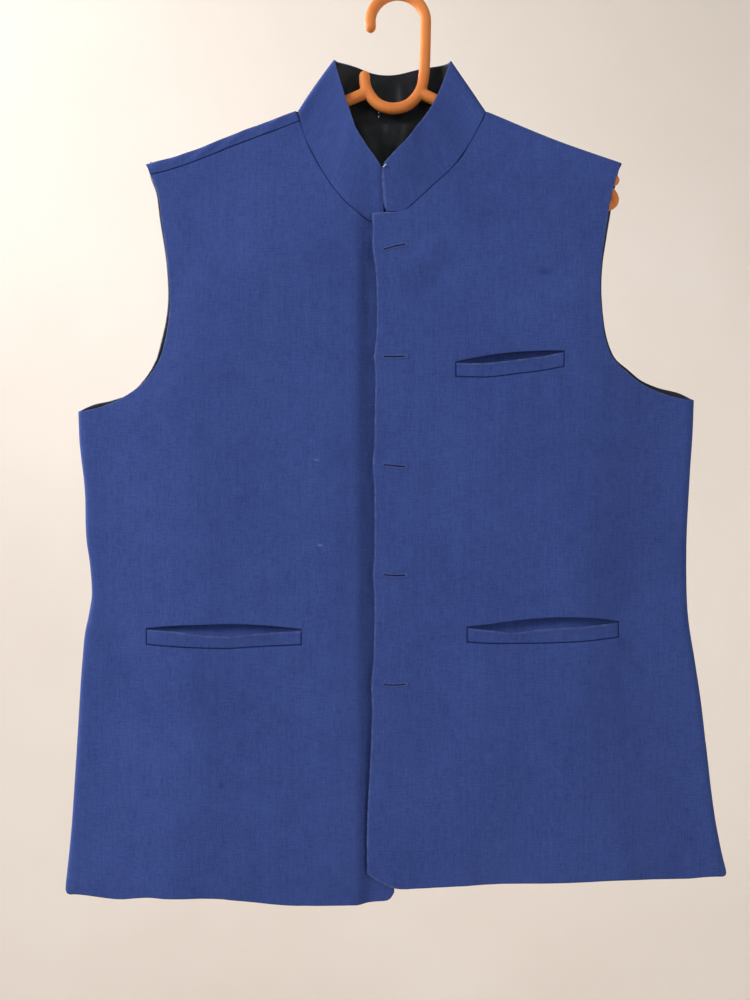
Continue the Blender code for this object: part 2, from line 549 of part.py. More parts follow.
def add_pocket(name, net, surface, rows, parent):
    """A welt over a pocket's slot and the facing behind it, both cut from the front's own net."""
    slot, welt, facing = pocket_loops(rows)
    rows = np.array(rows, float)
    piece = cut_from(net, [welt])
    u, v = piece[0].T
    share = np.clip((u - rows[0, 0]) / (rows[-1, 0] - rows[0, 0]), 0.0, 1.0)
    low, high = spline(rows[:, [0, 1]], u), spline(rows[:, [0, 2]], u)
    gape = WELT_GAPE * np.sin(math.pi * share) ** 0.7 * np.clip((v - low) / (high - low), 0.0, 1.0) ** 2
    add_sheet("welt_" + name, piece, surface, FRONT, SEAM_GAP + WELT_THICK + gape, WELT_THICK, BLUE, parent)
    piece = cut_from(net, [facing])
    sunk = FACING_SINK * inside(slot + (0.0, 0.01), piece[0])
    add_sheet("pocket_facing_" + name, piece, surface, FRONT, -(CLOTH + SEAM_GAP + sunk), FACING_THICK, BLUE, parent)


def buttonhole(height, tilt):
    half = BUTTONHOLE_WIDTH / 2
    start, end = BUTTONHOLE_X, BUTTONHOLE_X + BUTTONHOLE_LENGTH
    low, high = height - tilt / 2, height + tilt / 2
    return np.array([(start, low - half), (end, high - half), (end, high + half), (start, low + half)])


def grid_faces(rows, columns):
    quads = [(r * columns + c, r * columns + c + 1, (r + 1) * columns + c + 1, (r + 1) * columns + c)
             for r in range(rows - 1) for c in range(columns - 1)]
    return [part for a, b, c, d in quads for part in ((a, b, c), (a, c, d))]


def collar_lines():
    """Bottom and top edges of the collar's outer face, station by station."""
    bottom, top = [], []
    for panel, x, z, top_x, top_y, top_z in COLLAR:
        if panel == "ridge":
            flat, surface, face = ridge_point(x, 0.0), torso, BACK
        else:
            face = BACK if panel == "back" else FRONT
            flat = flat_place(x, z)
            surface = right_front_cloth if panel == "right" else torso
        bottom.append(surface(flat[0], flat[1], face))
        top.append((top_x, top_y, top_z))
    return np.array(bottom), np.array(top)


def through_stations(points, steps):
    """A smooth curve through the stations, with steps places from each to the next."""
    number = np.arange(len(points), dtype=float)
    at = np.linspace(0.0, len(points) - 1, (len(points) - 1) * steps + 1)
    return np.stack([spline(np.c_[number, column], at) for column in points.T], axis=1)


def add_collar(name, depth, thick, colour, parent):
    bottom, top = (through_stations(line, COLLAR_STEPS) for line in collar_lines())
    up = (top - bottom) / np.linalg.norm(top - bottom, axis=1, keepdims=True)
    bottom = bottom + up * COLLAR_GAP
    share = np.linspace(0.0, 1.0, COLLAR_ROWS)[:, None, None]
    place = bottom[None] + (top - bottom)[None] * share
    normal = np.cross(np.gradient(place, axis=0), np.gradient(place, axis=1))
    normal /= np.linalg.norm(normal, axis=-1, keepdims=True)
    outer = (place - normal * depth).reshape(-1, 3)
    inner = (place - normal * (depth + thick)).reshape(-1, 3)
    faces = [tuple(reversed(f)) for f in grid_faces(COLLAR_ROWS, place.shape[1])]
    verts, faces = walled(outer, inner, faces)
    return add_object(name, verts, faces, colour, 0.85, parent)


def tube(name, route, radius, round_start, round_end, parent):
    """A closed tube along a route of x, z in the hanger's plane, with rounded ends where asked."""
    route = np.array(route, float)
    direction = np.gradient(route, axis=0)
    direction /= np.linalg.norm(direction, axis=1, keepdims=True)
    rings = [(route[i], direction[i], radius) for i in range(len(route))]
    for end, asked in ((0, round_start), (-1, round_end)):
        if asked:
            sign = -1 if end == 0 else 1
            tips = [(route[end] + direction[end] * sign * radius * math.sin(a), direction[end], radius * math.cos(a))
                    for a in (math.radians(32), math.radians(62))]
            rings = tips[::-1] + rings if end == 0 else rings + tips
    verts = []
    for centre, along_tube, reach in rings:
        side = np.array([along_tube[1], -along_tube[0]])
        for k in range(TUBE_SIDES):
            angle = 2 * math.pi * (k + 0.5) / TUBE_SIDES
            x, z = centre + side * math.cos(angle) * reach
            verts.append((x, math.sin(angle) * reach, z))
    n = TUBE_SIDES
    faces = [(r * n + k, (r + 1) * n + k, (r + 1) * n + (k + 1) % n, r * n + (k + 1) % n)
             for r in range(len(rings) - 1) for k in range(n)]
    faces += [tuple(range(n)), tuple(range((len(rings) - 1) * n, len(rings) * n))[::-1]]
    return add_object(name, verts, faces, ORANGE, 0.4, parent)


def add_hanger(parent):
    angles = np.radians(np.linspace(HOOK_TIP_ANGLE, 0.0, 15))
    hook = [(HOOK_RADIUS * math.cos(a), HOOK_CENTRE_Z + HOOK_RADIUS * math.sin(a)) for a in angles]
    stem = np.concatenate([hook, along(NECK_ROUTE, BEND_STEP)])
    hanger = tube("hanger", stem, TUBE_RADIUS, True, True, parent)
    lower_bar = np.concatenate([along(BAR_RIGHT_END, BEND_STEP), along(BAR_LEFT_END, BEND_STEP)])
    for name, route, rounded in (("right_arm", along(RIGHT_ARM, ARM_STEP), True),
                                 ("left_arm", along(LEFT_ARM, ARM_STEP), True), ("lower_bar", lower_bar, False)):
        arm = tube(name, route, TUBE_RADIUS, False, rounded, parent)
        arm.hide_render = True
        arm.display_type = "WIRE"
        join = hanger.modifiers.new("join_" + name, "BOOLEAN")
        join.operation = "UNION"
        join.solver = "EXACT"
        join.object = arm
    return hanger


def add_button(name, height, parent):
    """A turned button lying on the front beneath, close under its buttonhole."""
    place, normal = facing_out(right_front_cloth, np.array(BUTTON_X), np.array(height), FRONT)
    profile = [(0.0, 0.0), (0.62, 0.0), (1.0, 0.35), (1.0, 0.8), (0.9, 1.0), (0.72, 0.86), (0.0, 0.86)]
    sides = 16
    verts = []
    for share, rise in profile[1:-1]:
        for k in range(sides):
            angle = 2 * math.pi * k / sides
            verts.append((BUTTON_RADIUS * share * math.cos(angle), BUTTON_RADIUS * share * math.sin(angle),
                          BUTTON_THICK * rise))
    rings = len(profile) - 2
    faces = [(r * sides + k, r * sides + (k + 1) % sides, (r + 1) * sides + (k + 1) % sides, (r + 1) * sides + k)
             for r in range(rings - 1) for k in range(sides)]
    faces += [tuple(range(sides))[::-1], tuple(range((rings - 1) * sides, rings * sides))]
    made = add_object(name, verts, faces, BUTTON_BLUE, 0.35, parent)
    made.rotation_mode = "QUATERNION"
    made.rotation_quaternion = Vector(normal).to_track_quat("Z", "Y")
    made.location = Vector((place + normal * SEAM_GAP) * MM)
    return made


def main():
    for old in list(bpy.data.objects):
        bpy.data.objects.remove(old)
    root = bpy.data.objects.new("jacket", None)
    bpy.context.scene.collection.objects.link(root)
    add_hanger(root)
    buttonholes = [buttonhole(z, tilt) for z, tilt in zip(button_heights(), BUTTONHOLE_TILTS)]
    pockets = {"breast": BREAST_POCKET, "lower_left": LOWER_POCKET_LEFT}
    loops = [loop for rows in pockets.values() for loop in pocket_loops(rows)]
    outline = left_front_outline()
    net = panel_net(outline, buttonholes + loops)
    slots = [pocket_loops(rows)[0] for rows in pockets.values()]
    add_sheet("front_left", cut_from(net, [outline], buttonholes + slots), torso, FRONT, 0.0, CLOTH, BLUE, root)
    for name, rows in pockets.items():
        add_pocket(name, net, torso, rows, root)

    outline = right_front_outline()
    loops = pocket_loops(LOWER_POCKET_RIGHT)
    net = panel_net(outline, loops, LAP_COLUMNS)
    piece = cut_from(net, [outline], loops[:1])
    add_sheet("front_right", piece, right_front_cloth, FRONT, 0.0, CLOTH, BLUE, root)
    add_pocket("lower_right", net, right_front_cloth, LOWER_POCKET_RIGHT, root)

    outline = back_outline()
    lined = [(x, LINING_HEM_Z) for x in np.linspace(-LINING_REACH, LINING_REACH, 34)]
    lined = np.array(lined + [(LINING_REACH, 0.0), (-LINING_REACH, 0.0)])
    net = panel_net(outline, [lined])
    add_sheet("back", cut_from(net, [outline]), torso, BACK, 0.0, CLOTH, BLUE, root)
    piece = cut_from(net, [outline, lined])
    add_sheet("back_lining", piece, torso, BACK, -(CLOTH + SEAM_GAP), LINING, BLACK, root)

    add_collar("collar_outer", 0.0, CLOTH, BLUE, root)
    add_collar("collar_lining", CLOTH + SEAM_GAP, LINING, BLACK, root)
    for number, height in enumerate(button_heights(), 1):
        add_button(f"button_{number}", height, root)


main()
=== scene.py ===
"""Looks of a sleeveless band-collar jacket hanging on a plastic hanger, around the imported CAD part.

X runs across the chest to the viewer's right, Y goes away from the viewer, Z is up, and the origin is the inside
top of the hanger's hook. Sizes are in millimetres, and MM turns them into metres. The garment's tables and the
function torso follow the CAD source's, fitted closer to the photograph, with rolled edges, creases and stitching.
A panel's flat places (u, v) are the same as x and z wherever the cloth hangs straight.
"""
import math

import bpy
import numpy as np
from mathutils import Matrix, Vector
from mathutils.geometry import delaunay_2d_cdt


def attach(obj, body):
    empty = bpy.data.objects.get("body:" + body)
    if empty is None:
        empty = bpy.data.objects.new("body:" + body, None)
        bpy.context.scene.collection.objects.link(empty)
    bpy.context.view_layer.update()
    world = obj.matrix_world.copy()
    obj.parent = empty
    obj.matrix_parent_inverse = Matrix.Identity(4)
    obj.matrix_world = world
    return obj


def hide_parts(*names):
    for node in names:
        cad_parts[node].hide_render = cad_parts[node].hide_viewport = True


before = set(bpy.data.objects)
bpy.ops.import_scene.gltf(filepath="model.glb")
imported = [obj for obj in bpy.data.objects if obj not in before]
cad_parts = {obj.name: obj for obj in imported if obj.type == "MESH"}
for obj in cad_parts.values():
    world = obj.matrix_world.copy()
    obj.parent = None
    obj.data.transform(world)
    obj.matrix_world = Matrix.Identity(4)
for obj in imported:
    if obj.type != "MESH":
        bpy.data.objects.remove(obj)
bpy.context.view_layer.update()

MM = 0.001

# The photograph's assumed camera, level, with its lens and sensor in millimetres, and the stage round the object
CAMERA_PLACE = (-21.6, -800.0, -470.5)
CAMERA_LENS = 30.64
CAMERA_SENSOR = 36.0
FLOOR_Z = -2000.0
BACKDROP_Y = 1600.0

# Cloth thicknesses and the gaps between pieces
CLOTH = 1.5
LINING = 1.0
SEAM_GAP = 0.3
SEAM_CLOSED = 0.04
COLLAR_TUCK = 2.2

# How deep the hanging cloth stands off the hanger's plane
FOLD_RADIUS = 9.0
RIDGE_RISE = 6.5
FRONT_DEPTH = 26.0
BACK_DEPTH = 19.0
SIDE_SWELL = 110.0
SHOULDER_SWELL = 150.0
SIDE_ARC = FOLD_RADIUS * math.pi / 2
RIDGE_ARC = math.pi / 2 * math.sqrt((FOLD_RADIUS ** 2 + RIDGE_RISE ** 2) / 2)
FRONT, BACK = -1, 1
# how far in from the sides and down from the ridge the folds, then the creases, reach their full height
FOLD_FADE = 45.0
CREASE_SIDE_FADE, CREASE_RIDGE_FADE = 30.0, 24.0
CREASE_LEAST = 0.25

# x, z of the shoulder ridge; the middle row carries it across the open neck
SHOULDER_RIDGE = [(-236.5, -155.8), (-205.0, -147.4), (-150.0, -126.2), (-94.5, -105.4), (-6.5, -70.0),
                  (83.5, -106.8), (148.0, -133.4), (211.5, -155.6)]
LEFT_SHOULDER_ROLL = 7.4

# x of each shoulder's two ends on the ridge
LEFT_NECK_POINT, RIGHT_NECK_POINT = -91.2, 84.0
LEFT_SHOULDER_TIP, RIGHT_SHOULDER_TIP = -230.5, 210.5
# where the back's neck and armhole edges cross the ridge on their way to the left shoulder's seam
BACK_NECK_FOLD, BACK_SHOULDER_FOLD = -94.0, -236.5

# z, x of each side seam, from the hem up to the armhole
LEFT_SIDE = [(-842, -313), (-790, -307.5), (-696, -301), (-621, -296.2), (-593, -293.4), (-578, -290.2),
             (-564, -287.7), (-536, -288.6), (-508, -292.3), (-461, -294), (-414, -299), (-389, -300)]
RIGHT_SIDE = [(-832, 312), (-800, 303.4), (-781, 299.6), (-696, 288.5), (-658, 284), (-621, 278.5), (-583, 272.5),
              (-527, 270.5), (-452, 273.5), (-405, 276.5), (-378, 277.5)]
LEFT_SIDE_TOP, RIGHT_SIDE_TOP = -387.5, -377.0
LEFT_SIDE_FOOT, RIGHT_SIDE_FOOT = -838.5, -821.0
SIDE_VENT = 130.0
VENT_INSET, VENT_FADE = 1.6, 25.0
HEM_CORNER = 11.0

# x, z along each armhole, from the shoulder down to the side seam
LEFT_ARMHOLE_FRONT = [(-229.0, -170.5), (-224.0, -184.5), (-219.3, -211.5), (-213.0, -250.1), (-210.0, -278.5),
                      (-210.6, -301.5), (-214.4, -324.2), (-220.0, -342.3), (-233.0, -360.6), (-247.0, -371.0),
                      (-264.5, -379.6), (-290.0, -387.0)]
LEFT_ARMHOLE_BACK = [(-234.5, -165.0), (-230.0, -177.0), (-226.3, -203.9), (-221.3, -241.2), (-219.8, -269.4),
                     (-221.0, -293.2), (-225.7, -317.2), (-231.2, -336.5), (-243.2, -356.8), (-255.0, -369.0),
                     (-272.0, -376.0), (-288.0, -379.8)]
RIGHT_ARMHOLE_FRONT = [(205.0, -164.4), (199.2, -182.7), (193.6, -211.6), (186.8, -250.3), (184.6, -274.0),
                       (185.9, -301.6), (189.6, -324.3), (198.2, -342.3), (209.3, -351.8), (221.7, -361.0),
                       (243.4, -370.8), (264.0, -376.0)]
RIGHT_ARMHOLE_BACK = [(209.0, -161.6), (206.0, -175.7), (201.4, -203.8), (196.6, -241.1), (195.2, -264.6),
                      (197.0, -293.1), (200.8, -317.2), (209.1, -336.5), (220.4, -346.5), (231.6, -356.4),
                      (246.0, -363.4), (268.0, -369.6)]

# x, z along the hem of each front, from the viewer's left to the right
RIGHT_FRONT_HEM = [(-301, -837.6), (-286, -838.6), (-257, -839.6), (-227, -835), (-199, -834), (-158, -834.6),
                   (-131, -837.5), (-103.5, -840), (-76, -840), (-49, -839.8), (-21.5, -839.8), (-8, -837.5),
                   (-4, -831.5)]
LEFT_FRONT_HEM = [(-17, -819), (-4, -824.3), (19, -824.5), (47, -822.4), (101, -820.8), (169, -818.8),
                  (197, -817.6), (240, -819.8), (270, -821.3), (296, -821.2)]
BACK_HEM_RISE = 5.0
FACING_WIDTH = 32.0

# The back's lining: how far it ends above the back's hem and in from its edge, and its gap to the cloth
LINING_HEM_RISE = 18.0
LINING_INSET = 0.6
LINING_GAP = 0.1

# z, x of the edge that laps over, and the closing behind it
LAP_EDGE = [(-811, -29), (-772, -29), (-700, -25.5), (-600, -22.5), (-400, -22), (-270, -20.5), (-208, -24.5)]
LAP_TOP, LAP_FOOT = -208.0, -811.0
LAP_PUSH = 1.7
LAP_PUSH_HEIGHT = 14.0
UNDERLAP_X = -3.5
UNDERLAP_DIP = 6.2
UNDERLAP_DIP_FROM, UNDERLAP_DIP_TO = -39.0, -25.5
UNDERLAP_TOP, UNDERLAP_FADE = -130.0, 70.0
# x where the front beneath starts to lose its folds, over what width, and the most that it may still stand out
UNDERLAP_PLAIN_FROM, UNDERLAP_PLAIN_WIDTH, UNDERLAP_LEAVE = -45.0, 20.0, 4.0
# x, z along the top and the foot of the placket, where its turned edge is paled: partly wear from rubbing, partly a
# painted highlight
PLACKET_TOP = [(-24.0, -209.0), (4.0, -206.2)]
PLACKET_FOOT = [(-29.0, -811.0)]
BUTTON_TOP_Z = -240.5
BUTTON_PITCH = 99.4
BUTTON_COUNT = 5
BUTTON_X = -14.0
BUTTON_RADIUS = 9.0
BUTTON_THICK = 3.0
# share of the radius and of the thickness, from the middle of the back round to the middle of the face
BUTTON_PROFILE = [(0.0, 0.35), (0.55, 0.15), (0.62, 0.0), (0.9, 0.18), (1.0, 0.42), (1.0, 0.72), (0.95, 0.93),
                  (0.88, 1.0), (0.80, 0.95), (0.70, 0.80), (0.45, 0.72), (0.0, 0.72)]
BUTTONHOLE_X, BUTTONHOLE_LENGTH, BUTTONHOLE_WIDTH = -13.5, 19.0, 0.9
# tilt of each buttonhole, from the top one down, as its far end's rise, and how far its middle bows up
BUTTONHOLE_TILTS = [4.4, 0.2, -1.8, -0.9, 0.3]
BUTTONHOLE_BOWS = [0.5, -0.3, -0.2, -0.6, -0.5]

# x, z of the neck seam on each panel
RIGHT_NECK = [(83.5, -106.4), (80.5, -111.7), (75.0, -123.5), (65.3, -141.5), (58.2, -153.5), (49.7, -163.9),
              (30.6, -183.1), (17.7, -195.7), (6.0, -205.5), (-11.6, -207.6)]
LEFT_NECK = [(-91.3, -119.0), (-83.0, -141.8), (-70.4, -166.6), (-59.2, -184.4), (-46.0, -200.1), (-27.0, -214.3),
             (-13.4, -218.5), (-3.5, -220.5)]
BACK_NECK = [(80.0, -106.2), (64.0, -107.4), (40.2, -110.6), (16.5, -111.6), (-5.4, -112.0), (-28.3, -111.6),
             (-52.0, -110.4), (-75.8, -107.0), (-90.5, -104.4)]

# Soft folds: x, z at both ends, half width and how far it stands out (negative for a trough)
FRONT_FOLDS = [(-280, -585, -196, -690, 16, -3.0), (-262, -560, -170, -672, 18, 2.0),
               (-184, -215, -222, -352, 20, -2.5), (15, -288, 62, -246, 9, -2.0),
               (8, -262, 40, -234, 8, 1.5), (-52, -205, -30, -232, 8, -2.0),
               (150, -345, 170, -378, 9, -1.5), (-62, -300, -62, -800, 26, 2.0),
               (70, -420, 88, -800, 30, 2.2), (205, -470, 224, -800, 30, -2.2),
               (-160, -420, -150, -560, 34, -2.0), (150, -640, 158, -815, 24, 1.8)]
BACK_FOLDS = [(-150, -200, -180, -780, 28, 4.3), (-40, -170, -20, -800, 34, -4.4), (95, -230, 120, -800, 28, 4.2),
              (215, -420, 190, -800, 24, -3.8), (-230, -460, -225, -800, 23, -3.6), (20, -130, 60, -240, 20, 2.6)]

# Smaller creases of the same form: x, z at both ends, half width, height
FRONT_CREASES = [(-300, -560, -262, -600, 5, 1.5), (-296, -572, -240, -640, 7, -1.2),
                 (-232, -640, -196, -700, 10, -1.0), (-300, -404, -262, -412, 7, 1.1),
                 (-298, -432, -270, -440, 6, -0.8), (-298, -486, -262, -494, 8, 0.9),
                 (-296, -522, -268, -520, 6, -0.8), (-140, -225, -70, -280, 26, 1.0),
                 (-196, -196, -150, -260, 12, -0.6), (-204, -300, -150, -360, 14, 0.6),
                 (192, -588, 216, -622, 5, 0.9), (200, -584, 226, -618, 6, -0.7),
                 (146, -334, 169, -368, 4, 0.8), (152, -330, 178, -366, 6, -0.7),
                 (-90, -588, -84, -616, 4, 0.8), (-84, -590, -76, -622, 5, -0.5),
                 (58, -186, 57, -330, 5, 0.35), (56, -370, 58, -560, 6, 0.35),
                 (160, -390, 162, -570, 7, -0.3), (212, -478, 268, -484, 12, -0.9),
                 (206, -548, 262, -556, 14, -0.7), (184, -210, 150, -262, 11, -0.6),
                 (186, -250, 140, -320, 14, 0.5), (-16, -222, 28, -214, 5, 0.9),
                 (-6, -252, 26, -262, 6, 0.9), (10, -232, 44, -222, 5, -0.8),
                 (-60, -196, -40, -222, 5, 0.9), (-74, -176, -60, -196, 5, -0.6),
                 (-20, -440, 30, -452, 10, 0.4), (-20, -490, 10, -478, 9, -0.4),
                 (-16, -640, 24, -652, 10, 0.4), (-130, -800, -118, -838, 9, -1.3),
                 (-156, -812, -150, -838, 8, 1.0), (-60, -806, -50, -838, 9, -1.1),
                 (-210, -806, -216, -838, 10, 0.8), (92, -790, 96, -820, 14, -0.7),
                 (214, -786, 206, -818, 13, 0.8), (262, -780, 268, -820, 12, -0.9),
                 (-250, -760, -284, -700, 14, 0.7), (30, -330, 70, -420, 22, 0.5),
                 (110, -450, 64, -540, 26, -0.5), (-110, -660, -60, -760, 24, -0.6)]
BACK_CREASES = [(-205, -188, -105, -300, 13, -2.0), (-214, -226, -140, -350, 14, 1.7),
                (-222, -290, -168, -390, 12, -1.4), (184, -186, 96, -290, 13, -2.0),
                (192, -232, 128, -350, 14, 1.7), (194, -300, 150, -400, 12, -1.3),
                (-72, -128, -14, -176, 8, 1.6), (62, -126, 12, -182, 9, -1.6), (-120, -146, -52, -196, 11, -1.3),
                (108, -150, 52, -204, 10, 1.2), (-292, -470, -190, -528, 12, -2.2),
                (-294, -516, -212, -590, 12, 1.9), (-290, -574, -226, -634, 9, -1.4),
                (270, -476, 180, -548, 12, -2.1), (272, -536, 196, -600, 11, 1.7), (276, -590, 226, -640, 9, -1.2),
                (-130, -552, 60, -574, 11, -1.5), (-70, -590, 130, -584, 12, 1.3), (-20, -622, 110, -606, 9, -0.9),
                (-196, -690, -232, -830, 16, -1.9), (-150, -720, -160, -834, 13, 1.5),
                (126, -680, 152, -818, 16, 1.8), (190, -720, 214, -816, 12, -1.4), (236, -700, 256, -816, 12, 1.4),
                (-30, -700, -34, -834, 15, 1.5), (44, -720, 60, -818, 13, -1.5),
                (24, -290, 34, -520, 24, 1.5), (-92, -320, -104, -520, 24, -1.6), (130, -400, 118, -560, 20, 1.2),
                (-170, -420, -160, -560, 18, 1.3)]

# Creases of the back's lining, of the same form; they all stand out to the inside
LINING_CREASES = [(-6, -108, -14, -162, 4.5, 1.7), (11, -108, 3, -152, 4, 1.4), (-38, -108, -14, -172, 5.5, 1.7),
                  (31, -106, 8, -170, 5, 1.6), (-26, -124, 18, -139, 4.5, 1.1), (-56, -106, -34, -156, 5, 1.3),
                  (50, -104, 30, -156, 5.5, 1.3), (-8, -150, 26, -176, 6, 1.2), (-30, -180, 10, -192, 7, 1.0),
                  (-190, -200, -160, -520, 12, 1.6), (-120, -240, -96, -640, 13, 1.3),
                  (-10, -230, -26, -700, 12, 1.4),
                  (70, -220, 60, -560, 11, 1.5), (150, -230, 128, -650, 13, 1.5), (210, -400, 190, -760, 12, 1.4),
                  (-220, -420, -210, -780, 12, 1.5), (-60, -600, -50, -800, 9, 1.2), (100, -640, 110, -790, 9, 1.2),
                  (-240, -500, -140, -560, 9, 1.1), (220, -520, 120, -590, 9, 1.1)]

# Short ripples along the collar's seam and below the welts: height, wavelength, reach from the seam
NECK_PUCKER = (0.30, 21.0, 13.0)
WELT_PUCKER = (0.16, 13.0, 15.0)
# Fullness of the cloth under a pocket: height, how far below the welt, half width
POCKET_SAG = (0.9, 22.0, 26.0)
# Ridges beside each buttonhole: height, place and half width across, place up, its lean, and half width up
BUTTONHOLE_RIDGES = [(0.45, 0.0, 9.5, 3.6, 0.12, 1.7), (-0.30, 1.0, 9.0, 7.4, 0.20, 2.0),
                     (-0.32, 15.0, 4.5, 1.4, 0.0, 1.8)]
# The button pushing up from beneath: height, half width; and the ripples round it: height, lobes, radius, half width
BUTTON_BULGE = (0.55, 15.0)
BUTTON_PUCKER = (0.16, 3, 14.0, 9.0)
# The hem's level left and right of the closing, and height and half width of its waves, its turned edge and,
# with the distance up between them, its stitching
HEM_STEP_X, HEM_LEVELS = -4.0, (-836.0, -819.5)
HEM_WAVE = (0.75, 42.0)
HEM_TURN = (1.0, 9.0)
HEM_STITCHING = (0.22, 30.0, 3.0)

# Unevenness of hanging cloth: height, wavelength, direction in degrees and phase of each wave
WAVES = [(0.22, 83.0, 12.0, 0.4), (0.20, 61.0, 97.0, 1.9), (0.15, 47.0, 58.0, 3.1), (0.12, 37.0, 141.0, 5.2),
         (0.09, 29.0, 84.0, 0.9), (0.08, 23.0, 20.0, 2.6), (0.06, 18.5, 118.0, 4.4), (0.05, 15.0, 71.0, 1.2)]

# Pocket openings: x, bottom of the welt, top of the welt, top of the opening
BREAST_POCKET = [(52, -358.3, -345.6, -345.0), (64, -358.6, -346, -342.4), (81, -358.7, -345.8, -339.3),
                 (107, -355.8, -343.2, -336.3), (129, -353, -340.2, -335), (150.5, -349, -336, -334.8)]
LOWER_POCKET_RIGHT = [(-231.5, -603, -589.3, -588.4), (-198.5, -604.7, -590.8, -585.3),
                      (-172.6, -605.4, -593.7, -584.2), (-156, -605.6, -594.3, -583.8),
                      (-128, -604, -591.6, -584.6), (-88.5, -602, -589.5, -588)]
LOWER_POCKET_LEFT = [(62, -599.5, -586.6, -585.8), (83, -600.6, -588.5, -583.4), (105, -600.8, -590.6, -580.6),
                     (124, -600.8, -588.2, -578.8), (157, -599.8, -585.9, -577.7), (180, -598.5, -584.6, -579),
                     (202.5, -596.5, -583.3, -582.4)]
WELT_GAPE = 3.2
FACING_THICK = 1.0
FACING_MARGIN = 7.0
FACING_DROP = 14.0
FACING_SINK = 6.4

# Collar: place along it (panel, seam x, seam z), then its top edge x, y, z
COLLAR = [("left", -12.0, -207.6, -15.2, -27.0, -165.5), ("left", 4.0, -207.0, -5.2, -26.5, -154.2),
          ("left", 17.7, -195.7, 8.9, -24.0, -139.0), ("left", 30.6, -183.1, 16.8, -21.0, -127.3),
          ("left", 49.7, -163.9, 26.2, -17.0, -114.0), ("left", 65.3, -141.5, 35.3, -11.5, -96.7),
          ("left", 75.0, -123.5, 42.8, -7.5, -77.7), ("left", 80.5, -111.7, 48.2, -4.0, -62.0),
          ("ridge", 83.5, 0.0, 50.4, 0.5, -56.6), ("back", 80.0, -106.2, 48.4, 5.0, -57.4),
          ("back", 64.0, -107.4, 39.4, 11.0, -57.4), ("back", 40.2, -110.6, 25.4, 15.5, -57.7),
          ("back", 16.5, -111.6, 10.2, 18.0, -60.1), ("back", -5.4, -112.0, -9.1, 19.0, -62.9),
          ("back", -28.3, -111.6, -25.4, 18.0, -61.0), ("back", -52.0, -110.4, -38.9, 15.5, -56.8),
          ("back", -75.8, -107.0, -50.2, 11.0, -55.5), ("back", -90.5, -104.4, -58.0, 5.0, -55.8),
          ("ridge", -94.0, 0.0, -60.2, 0.5, -56.0), ("right", -92.8, -110.8, -58.8, -4.0, -61.0),
          ("right", -89.0, -126.9, -54.7, -7.5, -76.8), ("right", -83.0, -141.8, -49.9, -11.5, -94.1),
          ("right", -70.4, -166.6, -44.1, -16.5, -113.5), ("right", -59.2, -184.4, -39.3, -19.0, -127.9),
          ("right", -46.0, -200.1, -31.7, -20.5, -140.9), ("right", -27.0, -214.3, -20.7, -21.0, -157.1),
          ("right", -13.4, -218.5, -13.4, -21.5, -168.8)]
COLLAR_CORNER = 4.0
COLLAR_END_BULGE = 1.9
LABEL_STITCH_X = -17.8
LABEL_STITCH_HEIGHTS = (9.2, 5.0)

# Hanger: tube sizes and routes as x, z in its own plane, and the angles of the rings that round off an end
TUBE_RADIUS = 5.1
MELT_SHRINK = 0.15
MELT_VOXEL = 0.95
TIP_ANGLES = (20, 40, 60, 78)
HOOK_RADIUS = 26.1
HOOK_CENTRE_Z = -21.4
HOOK_TIP_ANGLE = 190.0
NECK_ROUTE = [(25.6, -45.0), (24.2, -71.9), (22.6, -81.5), (17.5, -91.5), (9.5, -99.0), (-3.7, -102.6),
              (-17.5, -99.2), (-26.4, -90.0), (-30.8, -80.5), (-31.4, -72.5)]
RIGHT_ARM = [(17.5, -86.5), (33.0, -93.6), (83.0, -115.2), (141.0, -141.0), (203.0, -170.2)]
LEFT_ARM = [(-27.0, -86.5), (-40.5, -92.3), (-94.4, -113.2), (-150.0, -136.0), (-208.5, -163.0)]
BAR_RIGHT_END = [(191.5, -166.0), (195.0, -178.0), (201.2, -184.5), (202.6, -190.0), (197.5, -193.8),
                 (180.0, -194.6)]
BAR_LEFT_END = [(-188.0, -188.0), (-205.5, -187.2), (-210.0, -183.4), (-208.4, -178.0), (-202.2, -171.6),
                (-198.5, -159.6)]

# Mesh densities
NET_STEP = 4.2
EDGE_STEP = 3.4
EDGE_RINGS = (1.5, 3.4, 5.8)
RIDGE_STEP = 2.3
RIM_STEPS = 4
TUBE_SIDES = 28
THREAD_SIDES = 6
BUTTON_SIDES = 40
# an even net's rows and clearances, as shares of its step and of a ring's distance, and the least gap of its points
ROW_SHARE, NET_CLEAR, RING_CLEAR, LEAST_APART = 0.87, 0.55, 0.93, 0.9
RIDGE_CLEAR = 1.5
# share of the cloth's half thickness by which its flat edge lies in from the cut
EDGE_INSET = 0.98
# a distance from a hole's edge counts this many times, so the painted shade along a seam is narrower there
LOOP_SHARE = 1.5

# Thread thickness and pitch of the worked buttonholes
THREAD = 0.28
STITCH_PITCH = 0.62
STITCH_REACH = 1.9
PURL_RADIUS = 0.36
PURL_OFFSET = 0.84

# Colours, and the pitch of the weaves in metres
DARK_BLUE = (0.0145, 0.030, 0.143, 1.0)
LIGHT_BLUE = (0.048, 0.083, 0.289, 1.0)
PALE_BLUE = (0.16, 0.22, 0.42, 1.0)
# the next colour pales turned edges: partly wear from rubbing, partly a painted highlight
WORN_AND_HIGHLIGHT_BLUE = (0.115, 0.165, 0.360, 1.0)
STAIN_BLUE = (0.010, 0.016, 0.055, 1.0)
# the next colour is painted shade along seams and rolled rims, over the seams' own dark line
SEAM_SHADE_BLUE = (0.0055, 0.0120, 0.088, 1.0)
DARK_BLACK, LIGHT_BLACK = (0.0008, 0.0024, 0.0048, 1), (0.0030, 0.0066, 0.0112, 1)
DARK_ORANGE, LIGHT_ORANGE = (0.580, 0.182, 0.041, 1), (0.665, 0.236, 0.061, 1)
# the next colour darkens the mould's parting line, a painted shade along the tube's edges as seen from the front
PARTING_SHADE_ORANGE = (0.40, 0.10, 0.025, 1)
THREAD_PITCH = 0.0006
LINING_PITCH = 0.00035

